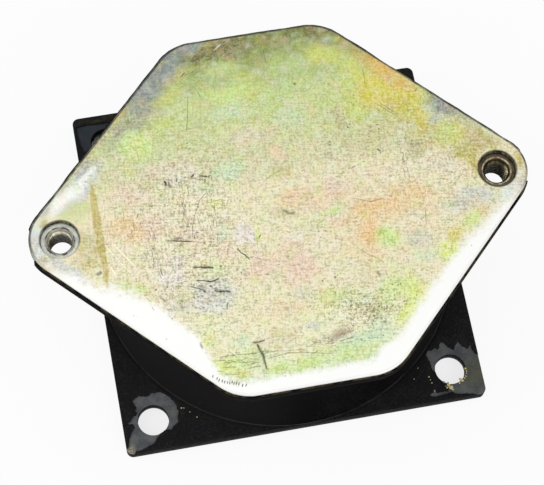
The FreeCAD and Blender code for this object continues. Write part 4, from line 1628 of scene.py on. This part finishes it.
class GritTree(Grower):
    """Sets an uneven grain of grit on each point of a mesh."""

    def __init__(self) -> None:
        """Build the tree."""
        super().__init__("grit", {"Flatness": "NodeSocketFloat", "Seed": "NodeSocketInt"})
        stone = self.node("GeometryNodeMeshIcoSphere", None, {"Radius": MM, "Subdivisions": 2})
        rough = self.node("ShaderNodeTexNoise", None, {"Scale": 900.0, "Detail": 1.0})
        shift = self.vector("SUBTRACT", rough.outputs["Color"], (0.5, 0.5, 0.5))
        shift = self.vector("MULTIPLY", shift, (0.9 * MM, 0.9 * MM, 0.9 * MM))
        lump = self.node("GeometryNodeSetPosition", None,
                         {"Geometry": stone.outputs[0], "Offset": shift})
        size = self.node("GeometryNodeInputNamedAttribute", {"data_type": "FLOAT"},
                         {"Name": "size"}).outputs[0]
        spin = self.node("FunctionNodeRandomValue", {"data_type": "FLOAT_VECTOR"}, {
            0: (0, 0, 0), 1: (0.3, 0.3, 6.28), "Seed": self.given["Seed"]})
        spread = self.node("FunctionNodeRandomValue", {"data_type": "FLOAT_VECTOR"}, {
            0: (0.6, 0.6, 0.6), 1: (1.2, 1.2, 1.0), "Seed": self.given["Seed"]})
        wide, deep, tall = self.parts(spread.outputs[0])
        grain = Value(self, size)
        scale = self.joined(wide * grain, deep * grain, tall * grain * self.input("Flatness"))
        placed = self.node("GeometryNodeInstanceOnPoints", None, {
            "Points": self.given["Geometry"], "Instance": lump.outputs[0],
            "Rotation": spin.outputs[0], "Scale": scale})
        self.close(placed.outputs[0])


def profile_mesh(name: str, points: Iterable[Triple]) -> bpy.types.Mesh:
    """Row of points for a turned shape: radius, share of ripple and height, in millimetres."""
    mesh = bpy.data.meshes.new(name)
    rows = [(radius * MM, share, height * MM) for radius, share, height in points]
    mesh.from_pydata(rows, [], [])
    return mesh


def node_box(node: str) -> tuple[Vector, Vector]:
    """A CAD node's box in millimetres."""
    low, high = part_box(node)
    return low / MM, high / MM


def place_piece(piece: bpy.types.Object, slot: str, *nodes: str) -> bpy.types.Object:
    """Ride a finished piece on the body, and hide the CAD nodes it stands for.

    Args:
        piece: The object, in place.
        slot: The record's material slot; not used.
        nodes: CAD nodes that it replaces.

    Returns:
        The piece.
    """
    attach(piece, BODY)
    if nodes:
        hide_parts(*nodes)
    count = sum(len(face.vertices) - 2 for face in piece.data.polygons)
    log.info("%s: %d triangles", piece.name, count)
    return piece


# Sub-assemblies


@dataclass
class TopPlate:
    """Six-sided zinc plate with its scratches, in millimetres."""

    tip_radius: float = 16.5
    corner_radius: float = 22.0
    edge_radius: float = 0.8
    seat_radius: float = 8.5
    seat_break: float = 0.3
    under_break: float = 0.25
    bush_x: float = 96.498
    mark_clearance: float = 1.8
    tint_spacing: float = 1.25
    arc_steps: int = 28
    seat_steps: int = 96
    seed: int = 11

    def __post_init__(self) -> None:
        """Read the plate's levels and reach from the frame."""
        low, high = node_box("top_plate")
        self.bottom, self.top = low.z, high.z
        self.half = high.y
        self.reach = high.x + self.tip_radius * (math.sqrt(2) - 1)

    def corners(self, grow: float = 0.0) -> list[Point]:
        """Sharp corners, counter-clockwise from the left tip, with every side moved out."""
        half, reach = self.half + grow, self.reach + grow * math.sqrt(2)
        shoulder = reach - half
        return [(-reach, 0), (-shoulder, -half), (shoulder, -half),
                (reach, 0), (shoulder, half), (-shoulder, half)]

    def outline(self, grow: float = 0.0, run_step: float = 12.0) -> Outline:
        """The plate's outline, moved out by some millimetres."""
        tip, corner = self.tip_radius + grow, self.corner_radius + grow
        radii = [tip, corner, corner, tip, corner, corner]
        return rounded_outline(self.corners(grow), radii, self.arc_steps, run_step)

    def build(self) -> bpy.types.Object:
        """Make the plate.

        Returns:
            The finished piece.
        """
        outer = self.outline()
        seats = [hole_outline((side * self.bush_x, 0), self.seat_radius, self.seat_steps)
                 for side in (-1, 1)]
        mesh = PlateMesh()
        side = [(self.under_break, self.bottom, 0.9), (0, self.bottom + self.under_break, 0.9)]
        outer_profile = side + edge_round(self.edge_radius, self.top, (1.0, 0.9), 0.5)
        seat_profile = [(0, self.bottom, 1.0)] + edge_round(self.seat_break, self.top, (1.0, 0.7), 0.4)
        mesh.edge(outer, [outer_profile])
        for seat in seats:
            mesh.edge(seat, [seat_profile])
        tops = [outer.inset(outer_profile[-1][0])]
        tops += [seat.inset(seat_profile[-1][0]) for seat in seats]
        unders = [outer.inset(self.under_break)] + [seat.inset(0) for seat in seats]
        marks = Marks(self.seed, [outer, *seats], self.mark_clearance)
        mesh.face(tops, self.top, True, marks, self.tint_spacing)
        mesh.face(unders, self.bottom, False)
        zinc = YellowZinc("yellow_zinc", self.reach, self.half)
        piece = mesh.piece("zinc_top_plate", zinc.material())
        places = np.array([vert.co.xy for vert in piece.data.vertices]) / MM
        tint = piece.data.attributes.new("tint", "FLOAT_COLOR", "POINT")
        tint.data.foreach_set("color", zinc.tints(places).ravel())
        return place_piece(piece, "yellow_zinc_steel", "top_plate")


@dataclass
class TopSkin:
    """Rubber skin up the sides of the top plate and the film under it, in millimetres."""

    plate: TopPlate
    thickness: float = 0.8
    head_radius: float = 78.5
    pad_radius: float = 12.8
    bare_half: float = 7.25
    wobble: float = 0.28
    pad_steps: int = 24
    head_steps: int = 160
    seed: int = 5

    def __post_init__(self) -> None:
        """Read the skin's levels from the frame."""
        low, high = node_box("top_skin")
        self.bottom, self.top = low.z, high.z

    def _profile(self, x: float, y: float) -> list[Triple]:
        """Section of the skin up the side of the plate, a little uneven from place to place."""
        rough = noise.noise(Vector((x * 0.11, y * 0.11, self.seed)))
        fine = noise.noise(Vector((x * 0.6, y * 0.6, self.seed + 3)))
        thin = max(0.0, min(0.45, self.wobble * (0.5 + rough) + 0.08 * fine))
        top = self.top - max(0.0, min(0.6, 0.25 * (0.5 + rough) + 0.12 * fine))
        deck = self.plate.bottom
        return [(0.2, self.bottom, 0), (0, self.bottom + 0.2, 0), (thin * 0.6, deck + 1.2, 0),
                (thin, top - 0.35, 0.4), (thin + 0.12, top - 0.08, 0.8), (thin + 0.3, top, 1.0),
                (self.thickness, top, 1.0), (self.thickness, deck, 0)]

    def _edge_only(self) -> list[Triple]:
        """Section where there is only the film under the plate."""
        deck = self.plate.bottom
        return [(0, self.bottom, 0), (0, self.bottom + 0.2, 0)] + [(0, deck, 0)] * 6

    def _pad(self, side: int) -> list[Point]:
        """Way round a bush from the front run to the back run, seen from the right tip."""
        bearing = math.asin(self.bare_half / self.pad_radius)
        points = []
        for step in range(self.pad_steps + 1):
            angle = -bearing - (2 * math.pi - 2 * bearing) * step / self.pad_steps
            points.append((side * (self.plate.bush_x + self.pad_radius * math.cos(angle)),
                           side * self.pad_radius * math.sin(angle)))
        return points

    def build(self) -> bpy.types.Object:
        """Make the skin.

        Returns:
            The finished piece.
        """
        grown = self.plate.outline(self.thickness, 2.0)
        points, outward, profiles = [], [], []
        for side in (1, -1):
            run = [index for index, (x, y) in enumerate(grown.points)
                   if y * side < -self.bare_half]
            run.sort(key=lambda index: grown.points[index][0] * side)
            for index in run:
                x, y = grown.points[index]
                points.append((x, y))
                outward.append(tuple(grown.outward[index]))
                profiles.append(self._profile(x, y))
            for point in self._pad(side):
                points.append(point)
                outward.append((0.0, 0.0))
                profiles.append(self._edge_only())
        border = Outline(np.array(points), np.array(outward))
        head = hole_outline((0, 0), self.head_radius, self.head_steps)
        mesh = PlateMesh()
        mesh.edge(border, profiles)
        deck = self.plate.bottom
        mesh.edge(head, [[(0, self.bottom, 0), (0, deck, 0)]])
        lows = [point - normal * profile[0][0] for point, normal, profile
                in zip(border.points, border.outward, profiles)]
        highs = [point - normal * profile[-1][0] for point, normal, profile
                 in zip(border.points, border.outward, profiles)]
        mesh.face([np.array(lows), head.points], self.bottom, False)
        mesh.face([np.array(highs), head.points], deck, True)
        finish = BlackRubber("skin_rubber", 0.15, crest=self.top).material()
        return place_piece(mesh.piece("rubber_skin", finish), "black_rubber", "top_skin")


@dataclass
class RubberBody:
    """Waisted rubber body with its rim and parting ridges, in millimetres."""

    foot_radius: float = 82.3
    rim_top: float = 7.4
    rim_bevel: float = 0.6
    waist_radius: float = 73.0
    waist_level: float = 35.5
    head_radius: float = 78.5
    flank_top: float = 64.4
    ridge_height: float = 0.3
    ridge_width: float = 0.8
    flat_radius: float = 40.0
    ripple: float = 0.25
    ripple_size: float = 9.0
    rows: int = 44
    bevel_steps: int = 4
    segments: int = 288

    def __post_init__(self) -> None:
        """Read the body's levels from the frame."""
        low, high = node_box("rubber_body")
        self.bottom, self.top = low.z, high.z

    def flank(self, level: float) -> float:
        """Radius of the flank at a level, on the curve through foot, waist and head."""
        foot, shoulder = self.rim_top, self.foot_radius - self.rim_bevel
        waist, head = self.waist_level, self.flank_top
        return (shoulder * (level - waist) * (level - head) / ((foot - waist) * (foot - head))
                + self.waist_radius * (level - foot) * (level - head)
                / ((waist - foot) * (waist - head))
                + self.head_radius * (level - foot) * (level - waist)
                / ((head - foot) * (head - waist)))

    def profile(self) -> list[Triple]:
        """Points from the middle of the underside, up the flank, to the middle of the top."""
        points = [(0.0, 0.0, self.bottom), (self.flat_radius, 0.0, self.bottom),
                  (self.foot_radius, 0.0, self.bottom)]
        for step in range(self.bevel_steps + 1):
            angle = math.pi / 2 * step / self.bevel_steps
            points.append((self.foot_radius - self.rim_bevel * (1 - math.cos(angle)), 0.0,
                           self.rim_top - self.rim_bevel * (1 - math.sin(angle))))
        for row in range(1, self.rows + 1):
            share = row / self.rows
            level = self.rim_top + (self.flank_top - self.rim_top) * share
            points.append((self.flank(level), math.sin(math.pi * share) ** 0.5, level))
        points += [(self.head_radius, 0.0, self.top), (self.flat_radius, 0.0, self.top),
                   (0.0, 0.0, self.top)]
        return points

    def build(self, turned: TurnedTree) -> bpy.types.Object:
        """Make the body.

        Args:
            turned: The tree that turns a profile.

        Returns:
            The finished piece.
        """
        finish = BlackRubber("body_rubber", 0.12, self.foot_radius, self.rim_top - 0.3,
                             scuffs=0.7).material()
        body = turned.grow("rubber_waist", profile_mesh("rubber_profile", self.profile()), {
            "Segments": self.segments, "Centre": 0.0, "Ripple": self.ripple * MM,
            "Ripple Size": self.ripple_size}, finish)
        self._raise_ridges(body.data)
        body.data.set_sharp_from_angle(angle=math.radians(50))
        return place_piece(body, "black_rubber", "rubber_body")

    def _raise_ridges(self, mesh: bpy.types.Mesh) -> None:
        """Lift the flank a little along the two parting lines of the mould."""
        for vert in mesh.vertices:
            x, y, z = vert.co / MM
            reach = math.hypot(x, y)
            if self.rim_top + 0.3 < z < self.flank_top - 0.3 and reach > self.waist_radius - 2:
                aside = abs(y) / self.ridge_width
                lift = self.ridge_height * max(0.0, 1 - aside * aside)
                vert.co = vert.co * (1 + lift / reach) if lift else vert.co
                vert.co.z = z * MM


@dataclass
class BaseFilm:
    """Thin rubber film on the base plate, torn off round the bolt holes, in millimetres."""

    groove_radius: float = 83.2
    groove_floor: float = 6.25
    foot_radius: float = 82.3
    seam: float = 0.02
    hole_radius: float = 7.0
    tear_step: float = 0.7
    tear_wobble: float = 0.22
    crest_round: float = 0.14
    hole_steps: int = 72
    disc_steps: int = 360
    seed: int = 23

    def __post_init__(self) -> None:
        """Read the film's levels and width from the frame."""
        low, high = node_box("base_film")
        self.bottom, self.top, self.half = low.z, high.z, high.x

    def _torn(self, line: np.ndarray) -> Outline:
        """An outline with its torn stretches broken up finely.

        Args:
            line: Points of the outline.

        Returns:
            The outline, its straight plate edges left as they are and its groove arcs rounded.
        """
        dice = random.Random(self.seed + len(line))
        reaches = np.hypot(line[:, 0], line[:, 1])
        on_edge = np.abs(line).max(1) > self.half - 0.02
        on_arc = np.abs(reaches - self.groove_radius) < 0.03
        points = []
        for index, start in enumerate(line):
            after = (index + 1) % len(line)
            end = line[after]
            points.append(start)
            gap = float(np.linalg.norm(end - start))
            if (on_edge[index] and on_edge[after]) or gap < 1.2:
                continue
            arc = on_arc[index] and on_arc[after]
            pieces = max(1, round(gap / self.tear_step))
            for piece in range(1, pieces):
                middle = start + (end - start) * piece / pieces
                shift = np.array([dice.gauss(0, 1), dice.gauss(0, 1)]) * self.tear_wobble * 0.6
                round_place = middle * self.groove_radius / np.linalg.norm(middle)
                points.append(round_place if arc else middle + shift)
        return free_outline(np.array(points))

    def _disc(self, mesh: PlateMesh) -> None:
        """Add the film under the body and the groove's floor, which the plate's sides cut off."""
        bearings = 2 * np.pi * np.arange(self.disc_steps) / self.disc_steps
        spokes = np.stack([np.cos(bearings), np.sin(bearings)], 1)
        reaches = np.minimum(self.groove_radius - self.seam, self.half / np.abs(spokes).max(1))
        border = Outline(spokes * reaches[:, None], spokes)
        profiles = []
        for reach in reaches:
            back = float(reach) - self.foot_radius
            profiles.append([(0, self.bottom, 0), (0, self.groove_floor, 0),
                             (back, self.groove_floor, 0), (back, self.top, 0)])
        mesh.edge(border, profiles)
        mesh.face([border.points], self.bottom, False)
        mesh.face([spokes * self.foot_radius], self.top, True)

    def build(self) -> bpy.types.Object:
        """Make the film.

        Returns:
            The finished piece.
        """
        mesh = PlateMesh()
        crest = self.crest_round
        steps = [(0, self.bottom, 0.3), (0, self.top - crest, 0.6), (0.05, self.top - 0.04, 1.0),
                 (crest, self.top, 1.0)]
        corners: list[Outline] = []
        holes: list[Outline] = []
        for line in level_outlines("base_film", self.top):
            middle = line.mean(0)
            radii = np.hypot(line[:, 0] - middle[0], line[:, 1] - middle[1])
            x, y = line.T
            area = float(x @ np.roll(y, -1) - y @ np.roll(x, -1)) / 2
            if np.ptp(radii) < 0.1 and abs(radii.mean() - self.hole_radius) < 0.2:
                holes.append(hole_outline(tuple(middle), self.hole_radius, self.hole_steps))
            elif area < 0:
                holes.append(self._torn(line))
            elif np.hypot(x, y).max() > self.groove_radius - 0.5:
                corners.append(self._torn(line))
        for corner in corners:
            inner = [hole for hole in holes if inside_ring(hole.points, corner.points).all()]
            outlines = [corner, *inner]
            for outline in outlines:
                mesh.edge(outline, [steps])
            mesh.face([outline.inset(crest) for outline in outlines], self.top, True)
            mesh.face([outline.inset(0) for outline in outlines], self.bottom, False)
        self._disc(mesh)
        finish = BlackRubber("film_rubber", 0.4, oil=(-66, 80.2), tone=Tone.FILM).material()
        piece = mesh.piece("rubber_film", finish)
        piece.data.set_sharp_from_angle(angle=math.radians(60))
        return place_piece(piece, "black_rubber", "base_film")


@dataclass
class BasePlate:
    """Square steel plate with four bolt holes, in millimetres."""

    corner_radius: float = 3.0
    low_break: float = 0.5
    top_break: float = 0.2
    hole_radius: float = 7.0
    bolt_reach: float = 68.5
    corner_steps: int = 10
    hole_steps: int = 72

    def __post_init__(self) -> None:
        """Read the plate's size from the frame."""
        low, high = node_box("base_plate")
        self.bottom, self.top, self.half = low.z, high.z, high.x

    def build(self) -> bpy.types.Object:
        """Make the plate.

        Returns:
            The finished piece.
        """
        half = self.half
        corners = [(-half, -half), (half, -half), (half, half), (-half, half)]
        outer = rounded_outline(corners, [self.corner_radius] * 4, self.corner_steps, 2 * half)
        reach = self.bolt_reach
        holes = [hole_outline((x * reach, y * reach), self.hole_radius, self.hole_steps)
                 for x in (-1, 1) for y in (-1, 1)]
        mesh = PlateMesh()
        steps = [(self.low_break, self.bottom, 0), (0, self.bottom + self.low_break, 0),
                 (0, self.top - self.top_break, 0), (self.top_break, self.top, 0)]
        for outline in [outer, *holes]:
            mesh.edge(outline, [steps])
        mesh.face([outline.inset(self.top_break) for outline in [outer, *holes]], self.top, True)
        mesh.face([outline.inset(self.low_break) for outline in [outer, *holes]], self.bottom, False)
        finish = PaintedSteel("primed_steel", self.top).material()
        return place_piece(mesh.piece("steel_base_plate", finish), "black_painted_steel", "base_plate")


class BushSide(Enum):
    """The two bushes: side and slot, tones of face, bore, grime and lip, and how dirty it is, which also
    sets how dark its painted shadow is.
    """

    LEFT = ("left", "zinc_bush", Tone.BRIGHT_ZINC, Tone.DULL_ZINC, Tone.GRIME, Tone.GRIME, 0.3)
    RIGHT = ("right", "rusty_bush", Tone.OIL_RUST, Tone.DARK_RUST, Tone.SOOT_AND_SHADE, Tone.WORN_STEEL, 0.7)


@dataclass
class ThreadedBush:
    """Turned bush with an M12 thread, in millimetres."""

    side: BushSide
    bore: float = 5.1
    thread_depth: float = 0.9
    pitch: float = 1.75
    mouth: float = 6.5
    spigot: float = 8.45
    body: float = 12.0
    deck: float = 65.0
    chamfer: float = 1.0
    edge_break: float = 0.25
    lip_radius: float = 6.3
    lip_half: float = 0.18
    groove: float = 0.2
    segments: int = 96
    thread_rows: int = 121

    def build(self, threaded: ThreadedTree) -> bpy.types.Object:
        """Make the bush.

        Args:
            threaded: The tree that turns it and cuts its thread.

        Returns:
            The finished piece.
        """
        label, slot, *tones, dirt = self.side.value
        node = "threaded_bush_" + label
        low, high = node_box(node)
        centre = (low.x + high.x) / 2
        thread_top = high.z - (self.mouth - self.bore)
        small = self.edge_break
        outer = [(self.bore, low.z), (self.body - self.chamfer, low.z),
                 (self.body, low.z + self.chamfer), (self.body, self.deck - small),
                 (self.body - small, self.deck), (self.spigot, self.deck),
                 (self.spigot, high.z - small), (self.spigot - small, high.z),
                 *self._mouth(high.z), (self.bore, thread_top)]
        finish = BushMetal(node + "_metal", centre, *tones, dirt, self.bore, self.lip_radius,
                           self.lip_half, high.z).material()
        points = [(radius, 0.0, level) for radius, level in outer]
        piece = threaded.grow("turned_bush_" + label, profile_mesh(node, points), {
            "Segments": self.segments, "Centre": centre * MM, "Ripple": 0.0, "Ripple Size": 1.0,
            "Bore": self.bore * MM, "Thread Depth": self.thread_depth * MM,
            "Pitch": self.pitch * MM, "Thread Top": thread_top * MM,
            "Thread Bottom": low.z * MM, "Thread Rows": self.thread_rows}, finish)
        piece.data.set_sharp_from_angle(angle=math.radians(35))
        return place_piece(piece, slot, node)

    def _mouth(self, level: float) -> list[Point]:
        """Shallow groove in the face and the lip between it and the countersink."""
        floor, crest = level - self.groove, level
        outer, inner = self.lip_radius + self.lip_half, self.lip_radius - self.lip_half
        return [(outer + self.groove * 2, level), (outer + self.groove, floor),
                (outer + self.groove * 0.4, floor), (outer, crest), (inner, crest - 0.04)]


@dataclass
class Grit:
    """Specks of old paint left on the film, each X, Y and radius in millimetres."""

    film_top: float
    flatness: float = 0.35
    seed: int = 7

    PALE = ((-55.2, -65.3, 0.4), (-54.1, -65.5, 0.3), (-51.7, -67.8, 0.25), (-49, -70.7, 0.3),
            (66.0, -75.9, 0.7), (66.9, -77.1, 0.9), (67.4, -78.2, 0.6), (66, -74.8, 0.5),
            (65.2, -76.9, 0.5), (75.2, -69.6, 0.7), (75.4, -70.8, 0.5), (75.2, -71.8, 0.4),
            (71.9, -74.2, 0.7), (72.7, -74.9, 0.6), (71.1, -75.7, 0.5), (74.6, -73.1, 0.55),
            (73.8, -73.9, 0.45), (53.9, -65.6, 0.3), (51.1, -70.4, 0.3), (58, -70.6, 0.35),
            (58.4, -72, 0.35), (58.7, -73.6, 0.35))
    GREY = ((64.2, -74.1, 0.5), (64.7, -76.1, 0.4), (59.1, -77.5, 0.4))

    def build(self, tree: GritTree) -> None:
        """Set the specks.

        Args:
            tree: The tree that grows them.
        """
        for label, tone, spots in (("pale", Tone.KHAKI, self.PALE), ("grey", Tone.PRIMER, self.GREY)):
            mesh = bpy.data.meshes.new("grit_places_" + label)
            mesh.from_pydata([(x * MM, y * MM, self.film_top * MM) for x, y, _ in spots], [], [])
            sizes = mesh.attributes.new("size", "FLOAT", "POINT")
            sizes.data.foreach_set("value", [radius for _, _, radius in spots])
            finish = Flake("flake_" + label, tone).material()
            piece = tree.grow("grit_" + label, mesh, {"Flatness": self.flatness, "Seed": self.seed},
                              finish)
            place_piece(piece, "black_painted_steel")


@dataclass
class Studio:
    """Camera, floor, two lamps and world, in metres.

    Attributes:
        hidden_half: Half side of the square of floor under the mount that the holes show.
        hidden_from: Y behind which that square has no glow of its own.
        shaded: Share of its glow that the square loses in front of it.
        glow: Share of the floor that glows where it is seen.
        sky: Strength of the world's light.
    """

    focal_length: float = 129.474
    sensor: float = 36.0
    camera_at: Triple = (-0.08936054, -0.29287635, 0.86048187)
    camera_right: Triple = (0.98213286, -0.18433247, 0.03790227)
    camera_up: Triple = (0.1607331, 0.92640629, 0.34049413)
    camera_back: Triple = (-0.09787702, -0.32831833, 0.93948239)
    floor_level: float = -0.0002
    floor_half: float = 3.0
    hidden_half: float = 0.08
    hidden_from: float = 0.02
    shaded: float = 0.15
    glow: float = 0.9
    sky: float = 0.72

    def build(self) -> None:
        """Set everything up."""
        self._camera()
        self._floor()
        self._world()
        self._lamp("key", (-1.1, 0.2, 1.0), 0.9, 6.0)
        self._lamp("fill", (0.7, -0.9, 0.8), 0.8, 3.0)

    def _camera(self) -> None:
        """Camera at the photograph's place."""
        data = bpy.data.cameras.new("camera")
        data.lens, data.sensor_width = self.focal_length, self.sensor
        data.clip_start, data.clip_end = 0.01, 50.0
        camera = bpy.data.objects.new("camera", data)
        bpy.context.scene.collection.objects.link(camera)
        turn = Matrix((self.camera_right, self.camera_up, self.camera_back)).transposed()
        camera.matrix_world = Matrix.Translation(self.camera_at) @ turn.to_4x4()
        bpy.context.scene.camera = camera

    @staticmethod
    def _seen(graph: Graph) -> Value:
        """1 for rays that show the background: from the camera, a gloss or a clear body."""
        path = graph.node("ShaderNodeLightPath").outputs
        seen = Value(graph, path["Is Camera Ray"])
        for name in ("Is Glossy Ray", "Is Transmission Ray"):
            seen = seen.math("MAXIMUM", path[name])
        return seen

    def _floor(self) -> None:
        """Pale floor that keeps a soft shadow."""
        size = self.floor_half
        mesh = bpy.data.meshes.new("floor")
        corners = [(-size, -size), (size, -size), (size, size), (-size, size)]
        mesh.from_pydata([(x, y, self.floor_level) for x, y in corners], [], [(0, 1, 2, 3)])
        floor = linked("floor", mesh)
        material = bpy.data.materials.new("floor")
        material.use_nodes = True
        graph = Graph(material.node_tree)
        graph.tree.nodes.clear()
        matt = graph.node("ShaderNodeBsdfDiffuse", None, {"Color": (0.9, 0.9, 0.9, 1)})
        glow = graph.node("ShaderNodeEmission", None, {"Color": (1, 1, 1, 1), "Strength": 1.0})
        place = graph.node("ShaderNodeTexCoord").outputs["Object"]
        side, along, _ = graph.parts(place)
        under = (abs(side).math("LESS_THAN", self.hidden_half)
                 * abs(along).math("LESS_THAN", self.hidden_half))
        hidden = under * (self.shaded + (1 - self.shaded) * along.math("GREATER_THAN", self.hidden_from))
        share = self._seen(graph) * self.glow * (1 - hidden)
        mixed = graph.node("ShaderNodeMixShader", None,
                           {0: share, 1: matt.outputs[0], 2: glow.outputs[0]})
        graph.node("ShaderNodeOutputMaterial", None, {0: mixed.outputs[0]})
        mesh.materials.append(material)

    def _world(self) -> None:
        """Even pale world, plain white where it is seen."""
        world = bpy.data.worlds.new("world")
        bpy.context.scene.world = world
        world.use_nodes = True
        graph = Graph(world.node_tree)
        graph.tree.nodes.clear()
        white = (1, 1, 1, 1)
        light = graph.node("ShaderNodeBackground", None, {"Color": white, "Strength": self.sky})
        seen = graph.node("ShaderNodeBackground", None, {"Color": white, "Strength": 1.0})
        mixed = graph.node("ShaderNodeMixShader", None,
                           {0: self._seen(graph), 1: light.outputs[0], 2: seen.outputs[0]})
        graph.node("ShaderNodeOutputWorld", None, {0: mixed.outputs[0]})

    @staticmethod
    def _lamp(name: str, place: Triple, size: float, power: float) -> None:
        """Soft square lamp that points at the mount.

        Args:
            name: The lamp's name.
            place: Where it is, in metres.
            size: Its side in metres.
            power: Its power in watts.
        """
        data = bpy.data.lights.new(name, "AREA")
        data.shape, data.size, data.energy = "SQUARE", size, power
        lamp = bpy.data.objects.new(name, data)
        bpy.context.scene.collection.objects.link(lamp)
        lamp.location = place
        lamp.rotation_euler = Vector(place).to_track_quat("Z", "Y").to_euler()


def main() -> None:
    """Build the studio and every piece of the mount."""
    logging.basicConfig(level=logging.INFO, format="%(name)s %(message)s")
    bpy.context.scene.view_settings.view_transform = "Standard"
    Studio().build()
    turned, threaded, grit = TurnedTree(), ThreadedTree(), GritTree()
    plate = TopPlate()
    plate.build()
    TopSkin(plate).build()
    RubberBody().build(turned)
    film = BaseFilm()
    film.build()
    BasePlate().build()
    for side in BushSide:
        ThreadedBush(side).build(threaded)
    Grit(film.top).build(grit)


if __name__ == "__main__":
    main()
